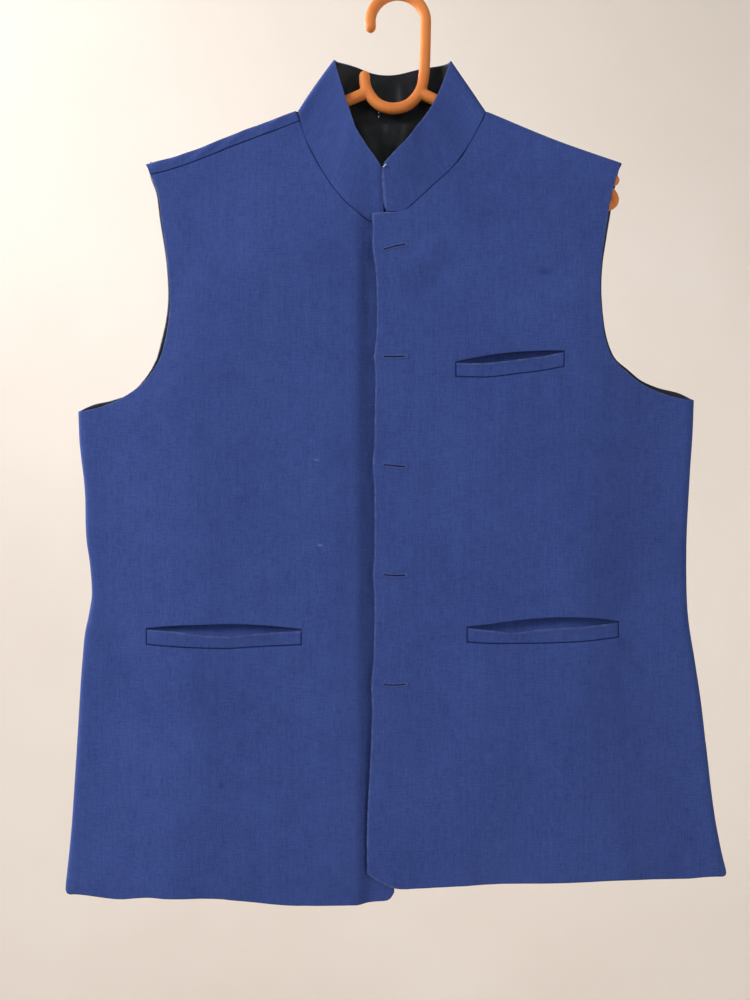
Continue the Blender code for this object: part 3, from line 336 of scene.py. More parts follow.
# Faint marks on the fronts: u, v, size across, size up, strength (dark above zero, pale below)
MARKS = [(133.4, -262.6, 10.0, 4.5, 0.30), (-161.0, -730.4, 4.5, 4.5, 0.30), (-71.5, -511.5, 3.5, 2.0, -0.40),
         (-74.5, -434.0, 4.0, 1.3, -0.35)]


def smooth(t):
    t = np.clip(t, 0.0, 1.0)
    return t * t * (3.0 - 2.0 * t)


def bell(distance, width):
    return np.exp(-(distance / width) ** 2)


def wave(place, length, phase=0.0):
    return np.sin(place / length * 2 * math.pi + phase)


def spline(rows, at):
    """Smooth curve through rows of (place, value), read at the places in at and level beyond its ends."""
    place, value = np.array(rows, float).T
    at = np.clip(at, place[0], place[-1])
    slope = np.gradient(value, place)
    i = np.clip(np.searchsorted(place, at) - 1, 0, len(place) - 2)
    span = place[i + 1] - place[i]
    t = (at - place[i]) / span
    start = (2 * t ** 3 - 3 * t ** 2 + 1) * value[i] + (t ** 3 - 2 * t ** 2 + t) * span * slope[i]
    end = (3 * t ** 2 - 2 * t ** 3) * value[i + 1] + (t ** 3 - t ** 2) * span * slope[i + 1]
    return start + end


def along(points, step):
    """Smooth route through points, as places about one step apart."""
    points = np.array(points, float)
    lengths = np.r_[0.0, np.cumsum(np.linalg.norm(np.diff(points, axis=0), axis=1))]
    count = max(1, round(lengths[-1] / step))
    at = np.linspace(0.0, lengths[-1], count + 1)
    return np.stack([spline(np.c_[lengths, column], at) for column in points.T], axis=1)


def fold_sum(table, x, z):
    """Height at (x, z) of the folds listed in a table."""
    height = np.zeros_like(x)
    for x0, z0, x1, z1, width, rise in table:
        length = math.hypot(x1 - x0, z1 - z0)
        ux, uz = (x1 - x0) / length, (z1 - z0) / length
        lengthwise = ((x - x0) * ux + (z - z0) * uz) / length
        across = (x - x0) * uz - (z - z0) * ux
        fade = smooth(lengthwise / 0.3 + 0.35) * smooth((1.0 - lengthwise) / 0.3 + 0.35)
        height += rise * fade * bell(across, width)
    return height


def rumple(x, z, face):
    """Slow waves of many directions, each a little bent, that keep the hanging cloth from lying even."""
    height = np.zeros_like(x)
    for rise, length, degrees, phase in WAVES:
        angle = math.radians(degrees + 23.0 * face)
        place = (x * math.cos(angle) + z * math.sin(angle)) / length * 2 * math.pi
        sway = 1.4 * np.sin((x * math.sin(angle) - z * math.cos(angle)) / (length * 2.3) + phase * 1.7)
        height += rise * np.sin(place + sway + phase)
    return height


def from_line(points, x, z):
    """Distance from (x, z) to a polyline, and how far along it the nearest place is."""
    points = np.array(points, float)
    nearest = np.full(np.shape(x), 1e9)
    place = np.zeros(np.shape(x))
    walked = 0.0
    for (x0, z0), (x1, z1) in zip(points[:-1], points[1:]):
        length = math.hypot(x1 - x0, z1 - z0)
        t = np.clip(((x - x0) * (x1 - x0) + (z - z0) * (z1 - z0)) / length ** 2, 0.0, 1.0)
        distance = np.hypot(x - x0 - t * (x1 - x0), z - z0 - t * (z1 - z0))
        closer = distance < nearest
        nearest = np.where(closer, distance, nearest)
        place = np.where(closer, walked + t * length, place)
        walked += length
    return nearest, place


def front_puckers(x, z):
    """Ripples of the fronts' cloth: under the collar, below the welts and round the buttonholes."""
    height = np.zeros_like(x)
    rise, length, reach = NECK_PUCKER
    for seam, phase in ((RIGHT_NECK, 0.6), (LEFT_NECK, 2.0)):
        distance, place = from_line(seam, x, z)
        height += rise * wave(place, length, phase + np.sin(place / 37.0)) * bell(distance, reach)
    rise, length, reach = WELT_PUCKER
    sag, sag_below, sag_width = POCKET_SAG
    for rows in (BREAST_POCKET, LOWER_POCKET_LEFT, LOWER_POCKET_RIGHT):
        rows = np.array(rows, float)
        below = spline(rows[:, [0, 1]], x) - z
        within = smooth((x - rows[0, 0] + 4) / 12) * smooth((rows[-1, 0] + 4 - x) / 12) * (below > 0)
        height += within * rise * wave(x, length, 1.3 * np.sin(x / 31.0)) * bell(below, reach)
        height += within * sag * bell(below - sag_below, sag_width)
    for number, level in enumerate(button_heights()):
        dx, dz = x - (BUTTONHOLE_X + BUTTONHOLE_LENGTH / 2), z - level
        for rise, across, wide, up, lean, high in BUTTONHOLE_RIDGES:
            height += rise * bell(dx - across, wide) * bell(dz - up - lean * dx, high)
        away = np.hypot(dx * 0.8, dz)
        rise, wide = BUTTON_BULGE
        height += rise * bell(away, wide)
        rise, lobes, radius, wide = BUTTON_PUCKER
        height += rise * np.cos(lobes * np.arctan2(dz, dx) + number) * bell(away - radius, wide)
    return height


def puckers(x, z, face):
    """Short ripples along the fronts' seams, and the hem's slow waves, turned edge and row of stitching."""
    height = front_puckers(x, z) if face == FRONT else np.zeros_like(x)
    hem = np.where(x < HEM_STEP_X, *HEM_LEVELS) + (BACK_HEM_RISE if face == BACK else 0.0)
    up = z - hem
    height += HEM_WAVE[0] * (wave(x, 118.0, 0.8 * face) + 0.6 * wave(x, 67.0, 1.9)) * bell(up, HEM_WAVE[1])
    height -= HEM_TURN[0] * bell(up, HEM_TURN[1])
    return height + HEM_STITCHING[0] * bell(up - HEM_STITCHING[1], HEM_STITCHING[2])


def shoulder_ripples(x, z, drop):
    """Diagonal puckers across the strip that rolls over the left shoulder."""
    ripple = wave(x * 0.92 - z * 0.75, 19.0, 1.6 * np.sin(x / 33.0))
    ripple += 0.5 * wave(x * 0.80 - z * 0.95, 11.0, 2.2 * np.sin(x / 21.0))
    return 0.6 * ripple * bell(drop - 6.5, 6.0) * smooth((-x - 92.0) / 8.0)


def torso(u, v, face, detail=True):
    """Outer face of the body's cloth at (u, v), as an array of x, y, z."""
    u, v = np.broadcast_arrays(np.asarray(u, float), np.asarray(v, float))
    left = spline(LEFT_SIDE, v)
    right = spline(RIGHT_SIDE, v)
    spare = SIDE_ARC - FOLD_RADIUS
    from_left = u - (left - spare)
    from_right = (right + spare) - u
    turn_left = np.clip(from_left / SIDE_ARC, -0.1, 1.0) * math.pi / 2
    turn_right = np.clip(from_right / SIDE_ARC, -0.1, 1.0) * math.pi / 2
    x = np.where(from_left < SIDE_ARC, left + FOLD_RADIUS * (1 - np.cos(turn_left)),
                 np.where(from_right < SIDE_ARC, right - FOLD_RADIUS * (1 - np.cos(turn_right)), u))
    in_from_side = np.minimum(from_left, from_right) - SIDE_ARC
    ridge = spline(SHOULDER_RIDGE, x)
    over = ridge + (RIDGE_ARC - RIDGE_RISE) - v
    now = np.where(over < 0, -face, face)
    turn_ridge = np.clip(np.abs(over) / RIDGE_ARC, 0.0, 1.0) * math.pi / 2
    drop = np.where(np.abs(over) < RIDGE_ARC, RIDGE_RISE * (1 - np.cos(turn_ridge)),
                    np.abs(over) - RIDGE_ARC + RIDGE_RISE)
    cap = np.sin(np.minimum(np.minimum(turn_left, turn_right), turn_ridge))
    swell = smooth(in_from_side / SIDE_SWELL) * smooth((drop - RIDGE_RISE) / SHOULDER_SWELL)
    deepest = np.where(now == FRONT, FRONT_DEPTH, BACK_DEPTH)
    z = ridge - drop
    soft = np.where(now == FRONT, fold_sum(FRONT_FOLDS, x, z), fold_sum(BACK_FOLDS, x, z))
    soft *= smooth(in_from_side / FOLD_FADE) * smooth((drop - RIDGE_RISE) / FOLD_FADE)
    depth = FOLD_RADIUS * cap + (deepest - FOLD_RADIUS) * swell + soft
    if detail:
        fine = fold_sum(FRONT_CREASES if face == FRONT else BACK_CREASES, x, z)
        fine = (fine + rumple(x, z, face) + puckers(x, z, face)) * np.where(now == face, 1.0, 0.0)
        kept = CREASE_LEAST + (1 - CREASE_LEAST) * smooth((in_from_side + SIDE_ARC) / CREASE_SIDE_FADE)
        depth += fine * kept * smooth(drop / CREASE_RIDGE_FADE)
        depth += shoulder_ripples(x, z, drop) * (0.6 + 0.4 * (now == FRONT))
    return np.stack([x, now * depth, z], axis=-1)


def under_lap(x, v):
    """How far the front that lies beneath sinks behind the one that laps over it, from the neck down."""
    across = smooth((x - UNDERLAP_DIP_FROM) / (UNDERLAP_DIP_TO - UNDERLAP_DIP_FROM))
    return UNDERLAP_DIP * across * smooth((UNDERLAP_TOP - v) / UNDERLAP_FADE)


def right_front_cloth(u, v, face):
    """The front beneath: it sinks behind the lap, with a smoother surface there."""
    place = torso(u, v, face)
    plain = torso(u, v, face, detail=False)
    sunk = smooth((place[..., 0] - UNDERLAP_PLAIN_FROM) / UNDERLAP_PLAIN_WIDTH)
    held_in = np.maximum(place[..., 1], plain[..., 1] - (1 - sunk) * UNDERLAP_LEAVE)
    place[..., 1] = np.where(sunk > 0, held_in, place[..., 1])
    place[..., 1] += under_lap(place[..., 0], v)
    return place


def tangents(surface, u, v, face):
    """The surface's place, its unit directions along u and v, and its outward unit normal."""
    reach = 0.05
    across = surface(u + reach, v, face) - surface(u - reach, v, face)
    up = surface(u, v + reach, face) - surface(u, v - reach, face)
    normal = np.cross(across, up) * -face
    unit = [w / np.linalg.norm(w, axis=-1, keepdims=True) for w in (across, up, normal)]
    return surface(u, v, face), *unit


def flat_place(x, z):
    """The (u, v) of cloth that is seen at (x, z), from the front or from behind."""
    x, z = np.broadcast_arrays(np.asarray(x, float), np.asarray(z, float))
    left, right = spline(LEFT_SIDE, z), spline(RIGHT_SIDE, z)
    spare = SIDE_ARC - FOLD_RADIUS
    near_left = np.clip(1 - (x - left) / FOLD_RADIUS, 0.0, 1.0)
    near_right = np.clip(1 - (right - x) / FOLD_RADIUS, 0.0, 1.0)
    u = np.where(near_left > 0, left - spare + SIDE_ARC * np.arccos(near_left) * 2 / math.pi,
                 np.where(near_right > 0, right + spare - SIDE_ARC * np.arccos(near_right) * 2 / math.pi, x))
    ridge = spline(SHOULDER_RIDGE, x)
    drop = np.clip(ridge - z, 0.0, None)
    near_ridge = np.clip(1 - drop / RIDGE_RISE, 0.0, 1.0)
    turn = RIDGE_ARC * np.arccos(near_ridge) * 2 / math.pi
    arc = np.where(near_ridge > 0, turn, drop - RIDGE_RISE + RIDGE_ARC)
    return np.stack([u, ridge + RIDGE_ARC - RIDGE_RISE - arc], axis=-1)


def seen(table):
    return flat_place(*np.array(table, float).T)


def ridge_point(x, arc):
    """The (u, v) on the shoulder at x, an arc length down from the ridge (negative past it)."""
    return np.array([x, float(spline(SHOULDER_RIDGE, np.array([x]))[0]) + RIDGE_ARC - RIDGE_RISE - arc])


def shoulder_run(start, end, arc):
    """A shoulder's cut edge from start to end across, an arc length down from the ridge."""
    count = round(abs(end - start) / EDGE_STEP)
    return np.array([ridge_point(x, arc) for x in np.linspace(start, end, count + 1)])


def side_run(table, sign, low, high):
    """The side seam's cut edge from low to high, with the vent opened a little at its foot."""
    v = np.linspace(low, high, round((high - low) / EDGE_STEP) + 1)
    inset = SEAM_CLOSED + VENT_INSET * smooth((low + SIDE_VENT - v) / VENT_FADE)
    edge = spline(table, v) + sign * (SIDE_ARC - FOLD_RADIUS - inset)
    return np.stack([edge, v], axis=-1)


def bend(before, corner, after, radius):
    """Points that round off the corner between two edges."""
    before, corner, after = (np.array(p, float) for p in (before, corner, after))
    a = corner + (before - corner) / np.linalg.norm(before - corner) * radius
    b = corner + (after - corner) / np.linalg.norm(after - corner) * radius
    t = np.linspace(0.0, 1.0, 7)[:, None]
    return (1 - t) ** 2 * a + 2 * t * (1 - t) * corner + t ** 2 * b


def hem_corner(side, hem):
    """Rounded corner from the foot of a side seam to the near end of a hem; both run away from it."""
    return bend(side[3], (side[0][0], hem[0][1]), hem[2], HEM_CORNER)


def outside(run, centre, radius):
    """The points of a run that lie beyond a radius from a corner."""
    return run[np.linalg.norm(run - np.asarray(centre, float), axis=1) > radius + 0.5]


def closed(*runs):
    """One outline out of runs that follow each other, without doubled points."""
    points = np.concatenate(runs)
    keep = np.linalg.norm(points - np.roll(points, 1, axis=0), axis=1) > 0.45
    return points[keep]


def inset(polygon, distance):
    """A closed outline moved inwards by a distance, or outwards if it is negative."""
    ahead = np.roll(polygon, -1, axis=0) - polygon
    ahead /= np.linalg.norm(ahead, axis=1, keepdims=True)
    behind = np.roll(ahead, 1, axis=0)
    normal = np.stack([-(ahead + behind)[:, 1], (ahead + behind)[:, 0]], axis=1)
    size = np.linalg.norm(normal, axis=1, keepdims=True)
    normal /= size
    share = np.clip(size / 2, 0.6, 1.0)
    return polygon + normal * distance / share


def button_heights():
    return [BUTTON_TOP_Z - BUTTON_PITCH * i for i in range(BUTTON_COUNT)]


def lap_edge(v):
    pushes = sum(bell(v - z, LAP_PUSH_HEIGHT) for z in button_heights())
    return spline(LAP_EDGE, v) - LAP_PUSH * pushes


def lap_run(v):
    """Places along the edge that laps over, at the heights v."""
    return np.c_[lap_edge(v), v]


def left_front_outline():
    """The front on the viewer's right, which laps over the other one."""
    bottom = lap_run(np.array([LAP_FOOT]))[0]
    side = side_run(RIGHT_SIDE, 1, RIGHT_SIDE_FOOT, RIGHT_SIDE_TOP)
    hem = along(seen([bottom] + LEFT_FRONT_HEM), EDGE_STEP)
    corner = hem_corner(side, hem[::-1])[::-1]
    shoulder = shoulder_run(RIGHT_SHOULDER_TIP, RIGHT_NECK_POINT, SEAM_CLOSED)
    arm = along(np.concatenate([side[-1:], seen(RIGHT_ARMHOLE_FRONT[::-1]), shoulder[:1]]), EDGE_STEP)
    neck = along(seen(RIGHT_NECK), EDGE_STEP)
    top = lap_run(np.array([LAP_TOP, LAP_TOP - 1.0])) + [(0.6, -0.4), (0.0, -0.2)]
    lap = lap_run(np.linspace(LAP_TOP - 3.0, LAP_FOOT + 1.0, 176)[1:-1])
    return closed(hem, corner, outside(side[1:-1], side[0], HEM_CORNER), arm, shoulder[1:], neck[1:], top, lap)


def right_front_outline():
    """The front on the viewer's left, whose closing edge lies beneath."""
    side = side_run(LEFT_SIDE, -1, LEFT_SIDE_FOOT, LEFT_SIDE_TOP)[::-1]
    hem = along(seen(RIGHT_FRONT_HEM), EDGE_STEP)
    corner = hem_corner(side[::-1], hem)
    underlap = np.array([[UNDERLAP_X, z] for z in np.linspace(-822.0, -222.0, 170)])
    neck = along(seen(LEFT_NECK[::-1]), EDGE_STEP)
    drop = RIDGE_ARC + LEFT_SHOULDER_ROLL + SEAM_CLOSED
    shoulder = shoulder_run(LEFT_NECK_POINT, LEFT_SHOULDER_TIP, drop)
    arm = along(np.concatenate([shoulder[-1:], seen(LEFT_ARMHOLE_FRONT[1:]), side[:1]]), EDGE_STEP)
    return closed(corner, hem, underlap, neck, shoulder, arm[1:-1], outside(side[:-1], side[-1], HEM_CORNER))


def back_outline(margin=0.0, hem_rise=BACK_HEM_RISE):
    """The back, whose shoulder on the viewer's left rolls over the ridge to the front."""
    left_side = side_run(LEFT_SIDE, -1, LEFT_SIDE_FOOT + hem_rise, LEFT_SIDE_TOP)[::-1]
    right_side = side_run(RIGHT_SIDE, 1, RIGHT_SIDE_FOOT + hem_rise, RIGHT_SIDE_TOP)
    hem = [(x, z + hem_rise) for x, z in RIGHT_FRONT_HEM[:11] + LEFT_FRONT_HEM[3:]]
    hem = along(seen(hem), EDGE_STEP)
    left_corner = hem_corner(left_side[::-1], hem)
    right_corner = hem_corner(right_side, hem[::-1])[::-1]
    right_shoulder = shoulder_run(RIGHT_SHOULDER_TIP, RIGHT_NECK_POINT, SEAM_CLOSED)
    right_arm = np.concatenate([right_side[-1:], seen(RIGHT_ARMHOLE_BACK[::-1]), right_shoulder[:1]])
    right_arm = along(right_arm, EDGE_STEP)
    roll = -(RIDGE_ARC + LEFT_SHOULDER_ROLL - SEAM_CLOSED)
    left_shoulder = shoulder_run(LEFT_NECK_POINT, LEFT_SHOULDER_TIP, roll)
    neck = [right_shoulder[-1:], seen(BACK_NECK), [ridge_point(BACK_NECK_FOLD, 0.0)], left_shoulder[:1]]
    neck = along(np.concatenate(neck), EDGE_STEP)
    left_arm = along(np.concatenate([left_shoulder[-1:], [ridge_point(BACK_SHOULDER_FOLD, 0.0)],
                                     seen(LEFT_ARMHOLE_BACK), left_side[:1]]), EDGE_STEP)
    outline = closed(left_corner, hem, right_corner,
                     outside(right_side[1:-1], right_side[0], HEM_CORNER), right_arm, right_shoulder[1:-1],
                     neck[1:-1], left_shoulder, left_arm[1:-1], outside(left_side[:-1], left_side[-1], HEM_CORNER))
    return inset(outline, margin) if margin else outline


def inside(polygon, points):
    """Which points lie inside a polygon, by counting the edges to their right."""
    result = np.zeros(len(points), bool)
    for (x0, y0), (x1, y1) in zip(polygon, np.roll(polygon, -1, axis=0)):
        crosses = (y0 > points[:, 1]) != (y1 > points[:, 1])
        with np.errstate(divide="ignore", invalid="ignore"):
            at = x0 + (points[:, 1] - y0) / (y1 - y0) * (x1 - x0)
        result ^= crosses & (points[:, 0] < at)
    return result


def clearance(polygon, points):
    """Distance from each point to the nearest edge of a polygon."""
    nearest = np.full(len(points), 1e9)
    for a, b in zip(polygon, np.roll(polygon, -1, axis=0)):
        t = np.clip(((points - a) @ (b - a)) / max((b - a) @ (b - a), 1e-9), 0.0, 1.0)
        nearest = np.minimum(nearest, np.linalg.norm(points - (a + t[:, None] * (b - a)), axis=1))
    return nearest


def lattice(outline, loops, step, rings):
    """Inner points: rings that follow each edge, and an even net with closer rows over the shoulder ridge."""
    low, high = outline.min(axis=0), outline.max(axis=0)
    points = []
    for number, v in enumerate(np.arange(low[1], high[1], step * ROW_SHARE)):
        shift = step / 2 if number % 2 else 0.0
        points += [(u, v) for u in np.arange(low[0] + shift, high[0], step)]
    points = np.array(points)
    ridge = spline(SHOULDER_RIDGE, points[:, 0]) + RIDGE_ARC - RIDGE_RISE
    points = points[np.abs(points[:, 1] - ridge) > RIDGE_ARC + RIDGE_CLEAR]
    arcs = np.arange(-RIDGE_ARC, RIDGE_ARC + 0.1, RIDGE_STEP)
    close = np.array([ridge_point(u, arc) for u in np.arange(low[0], high[0], step) for arc in arcs])
    points = np.concatenate([points, close]) if high[1] > -200.0 else points
    edges = [outline, *loops]
    far = [clearance(edge, points) for edge in edges]
    kept = [points[inside(outline, points) & (np.min(far, axis=0) > rings[-1] + step * NET_CLEAR)]]
    for number, edge in enumerate(edges):
        sign = 1.0 if number == 0 else -1.0
        for distance in rings:
            ring = inset(edge, sign * distance)
            clear = inside(outline, ring)
            for loop in edges:
                clear &= clearance(loop, ring) > distance * RING_CLEAR
            for loop in loops:
                clear &= ~inside(loop, ring)
            kept.append(ring[clear])
    return thinned(np.concatenate(kept), LEAST_APART)


def thinned(points, apart):
    """The points without those that share a small cell with an earlier one."""
    cells = np.round(points / apart).astype(int)
    first = np.unique(cells, axis=0, return_index=True)[1]
    return points[np.sort(first)]


def doubled_areas(flat, faces):
    """Twice the area of each flat triangle, negative where it turns the wrong way."""
    a, b, c = (flat[faces[:, i]] for i in range(3))
    return (b[:, 0] - a[:, 0]) * (c[:, 1] - a[:, 1]) - (b[:, 1] - a[:, 1]) * (c[:, 0] - a[:, 0])


def panel_net(outline, loops=(), step=NET_STEP, rings=EDGE_RINGS):
    """Flat triangles between an outline and the loops cut out of it."""
    everything = [outline, *loops]
    verts = [Vector(p) for loop in everything for p in loop]
    verts += [Vector(p) for p in lattice(outline, loops, step, rings)]
    edges, start = [], 0
    for loop in everything:
        edges += [(start + i, start + (i + 1) % len(loop)) for i in range(len(loop))]
        start += len(loop)
    found = delaunay_2d_cdt(verts, edges, [], 0, 1e-5)
    flat = np.array([tuple(p) for p in found[0]])
    faces = np.array([tuple(f) for f in found[2]])
    turned = doubled_areas(flat, faces) < 0
    faces[turned] = faces[turned][:, ::-1]
    centres = flat[faces].mean(axis=1)
    kept = inside(outline, centres)
    for loop in loops:
        kept &= ~inside(loop, centres)
    used, numbered = np.unique(faces[kept], return_inverse=True)
    return flat[used], numbered.reshape(-1, 3)


def rim_edges(faces):
    """The edges that only one triangle has, each in that triangle's direction."""
    edges = np.concatenate([faces[:, [0, 1]], faces[:, [1, 2]], faces[:, [2, 0]]])
    known = set(map(tuple, edges))
    return [(a, b) for a, b in known if (b, a) not in known]


def add_mesh(name, verts, faces, finishes, slots=None):
    mesh = bpy.data.meshes.new(name)
    mesh.from_pydata((np.asarray(verts) * MM).tolist(), [], [tuple(map(int, f)) for f in faces])
    for finish in finishes:
        mesh.materials.append(finish)
    if slots is not None:
        mesh.polygons.foreach_set("material_index", np.asarray(slots, np.int32))
    mesh.polygons.foreach_set("use_smooth", np.full(len(mesh.polygons), True))
    made = bpy.data.objects.new(name, mesh)
    bpy.context.scene.collection.objects.link(made)
    return made


def keep_numbers(obj, name, kind, values):
    """Gives each point of a mesh a number or a vector, for its material to read."""
    attribute = obj.data.attributes.new(name, kind, "POINT")
    field = "vector" if kind == "FLOAT_VECTOR" else "value"
    attribute.data.foreach_set(field, np.asarray(values, np.float32).ravel())


def add_cloth(name, outline, loops, surface, face, rise, thick, finishes, step=NET_STEP, rings=EDGE_RINGS,
              facing_width=None, worn_and_highlit=()):
    """A piece of cloth with rolled edges. Its outer face stands out from the surface by rise, which is a number or
    a function of u and v. The second finish shows on its inner face further than facing_width from an edge. The
    stretches of its edge given last are turned, and its material paints them paler, partly as wear and partly as a
    painted highlight; each point also keeps its distance from the edges, for painted shade along seams and rims."""
    half = thick / 2
    border = inset(outline, half * EDGE_INSET)
    holes = [inset(loop, -half * EDGE_INSET) for loop in loops]
    flat, faces = panel_net(border, holes, step, rings)
    place, across, up, normal = tangents(surface, flat[:, 0], flat[:, 1], face)
    lift = rise(flat[:, 0], flat[:, 1]) if callable(rise) else np.full(len(flat), float(rise))
    gaps = [clearance(loop, flat) for loop in [outline, *loops]]
    far = np.min(gaps, axis=0)
    # distance from the edges, narrower at holes, along which the material paints shade by the seams and rims
    from_seam_for_shade = np.min([gaps[0]] + [LOOP_SHARE * gap for gap in gaps[1:]], axis=0)
    outer = place + normal * lift[:, None]
    inner = outer - normal * thick
    rim = rim_edges(faces)
    outward = np.zeros_like(flat)
    for a, b in rim:
        way = flat[b] - flat[a]
        way = np.array([way[1], -way[0]]) / np.linalg.norm(way)
        outward[a] += way
        outward[b] += way
    edge_points = np.unique(np.array(rim))
    size = np.linalg.norm(outward[edge_points], axis=1, keepdims=True)
    outward[edge_points] /= size
    side = across * outward[:, :1] + up * outward[:, 1:]
    count = len(flat)
    verts, flats, from_edge = [outer, inner], [flat, flat], [from_seam_for_shade, from_seam_for_shade]
    number = np.full(count, -1)
    number[edge_points] = np.arange(len(edge_points))
    rings_of = []
    for k in range(1, RIM_STEPS):
        angle = math.pi * k / RIM_STEPS
        ring = outer - normal * half + normal * (half * math.cos(angle)) + side * (half * math.sin(angle))
        rings_of.append(2 * count + (k - 1) * len(edge_points))
        verts.append(ring[edge_points])
        flats.append((flat + outward * half * math.sin(angle))[edge_points])
        from_edge.append(np.full(len(edge_points), half * (1 - math.sin(angle))))
    outer_faces = [tuple(f) for f in faces]
    inner_faces = [tuple(i + count for i in reversed(f)) for f in faces]
    walls = []
    for a, b in rim:
        levels = [(a, b)] + [(start + number[a], start + number[b]) for start in rings_of] + [(a + count, b + count)]
        walls += [(b0, a0, a1, b1) for (a0, b0), (a1, b1) in zip(levels[:-1], levels[1:])]
    all_faces = outer_faces + inner_faces + walls
    if face == BACK:
        all_faces = [tuple(reversed(f)) for f in all_faces]
    slots = np.zeros(len(all_faces), np.int32)
    if facing_width is not None:
        deep = far[faces].min(axis=1) > facing_width
        slots[len(outer_faces):2 * len(outer_faces)] = deep
    made = add_mesh(name, np.concatenate(verts), all_faces, finishes, slots)
    flats = np.concatenate(flats)
    keep_numbers(made, "flat", "FLOAT_VECTOR", np.c_[flats * MM, np.zeros(len(flats))])
    # the material reads this distance to paint shade along seams and rims, over the seams' own dark line
    keep_numbers(made, "seam", "FLOAT", np.concatenate(from_edge))
    # distance from the turned edges that the material paints paler, partly as wear and partly as a painted highlight
    rubbed_and_highlit = [from_line(run, flats[:, 0], flats[:, 1])[0] for run in worn_and_highlit]
    keep_numbers(made, "worn_and_highlit", "FLOAT", np.min(rubbed_and_highlit, axis=0) if rubbed_and_highlit else np.full(len(flats), 99.0))
    spread = outline.max(axis=0) - outline.min(axis=0)
    made["flat_size"] = [float(spread[0] * MM), float(spread[1] * MM)]
    made["flat_area"] = float(np.abs(doubled_areas(flat, faces)).sum() / 2) * MM * MM
    return made


# Materials

def feed(tree, socket, value):
    """Links a socket to another one, or gives it a value."""
    if isinstance(value, bpy.types.NodeSocket):
        tree.links.new(value, socket)
    elif value is not None:
        socket.default_value = value


def node(tree, kind, settings=None, **inputs):
    """Adds a node. An input goes by its name, with _ for a space, or by its number after an i."""
    made = tree.nodes.new(kind)
    for key, value in (settings or {}).items():
        setattr(made, key, value)
    for key, value in inputs.items():
        numbered = key[0] == "i" and key[1:].isdigit()
        feed(tree, made.inputs[int(key[1:]) if numbered else key.replace("_", " ")], value)
    return made


def math_node(tree, operation, a, b=None, c=None):
    return node(tree, "ShaderNodeMath", {"operation": operation}, i0=a, i1=b, i2=c).outputs[0]


def weighted(tree, *terms):
    """Sum of sockets, each times its share."""
    total = 0.0
    for socket, share in terms:
        total = math_node(tree, "MULTIPLY_ADD", socket, share, total)
    return total


def mixed(tree, share, a, b):
    return node(tree, "ShaderNodeMix", {"data_type": "RGBA"}, i0=share, i6=a, i7=b).outputs[2]


def ranged(tree, value, low, high, to_low=0.0, to_high=1.0, kind="SMOOTHSTEP"):
    settings = {"interpolation_type": kind}
    return node(tree, "ShaderNodeMapRange", settings, i0=value, i1=low, i2=high, i3=to_low, i4=to_high).outputs[0]


def linear(tree, value, low, high, to_low=0.0, to_high=1.0):
    return ranged(tree, value, low, high, to_low, to_high, "LINEAR")


def vector_math(tree, operation, a, b=None):
    return node(tree, "ShaderNodeVectorMath", {"operation": operation}, i0=a, i1=b)


def noise(tree, vector, scale, detail=2.0, roughness=0.5):
    """Noise of one scale, or of a scale for each axis."""
    if isinstance(scale, tuple):
        vector, scale = vector_math(tree, "MULTIPLY", vector, scale).outputs[0], 1.0
    settings = {"Scale": scale, "Detail": detail, "Roughness": roughness}
    return node(tree, "ShaderNodeTexNoise", None, Vector=vector, **settings).outputs[0]


def attribute(tree, name, output):
    return node(tree, "ShaderNodeAttribute", {"attribute_name": name}).outputs[output]


def object_place(tree):
    return node(tree, "ShaderNodeTexCoord").outputs["Object"]


def new_material(name):
    made = bpy.data.materials.new(name)
    made.use_nodes = True
    return made, made.node_tree, made.node_tree.nodes["Principled BSDF"]


def finish_surface(tree, shader, colour, rough, bump=None, **values):
    """Feeds a surface its colour, roughness and other inputs; bump is a height, a strength and a distance."""
    feed(tree, shader.inputs["Base Color"], colour)
    feed(tree, shader.inputs["Roughness"], rough)
    if bump:
        height, strength, distance = bump
        relief = node(tree, "ShaderNodeBump", None, Strength=strength, Distance=distance, Height=height)
        feed(tree, shader.inputs["Normal"], relief.outputs[0])
    for name, value in values.items():
        feed(tree, shader.inputs[name.replace("_", " ")], value)


def weave_height(tree, flat, pitch):
    """Height of a plain weave: threads of one way pass over those of the other, in turn."""
    parts = node(tree, "ShaderNodeSeparateXYZ", None, Vector=flat)
    wander = math_node(tree, "MULTIPLY", noise(tree, flat, 160.0, 1.0), 2.4)
    a, b = (math_node(tree, "SINE", math_node(tree, "MULTIPLY_ADD", parts.outputs[i], math.pi / pitch, wander))
            for i in range(2))
    over = math_node(tree, "MULTIPLY_ADD", math_node(tree, "MULTIPLY", a, b), 0.5, 0.5)
    under = math_node(tree, "SUBTRACT", 1.0, over)
    warp, weft = (math_node(tree, "MULTIPLY", math_node(tree, "ABSOLUTE", threads), shown)
                  for threads, shown in ((a, over), (b, under)))
    return math_node(tree, "MAXIMUM", warp, weft)


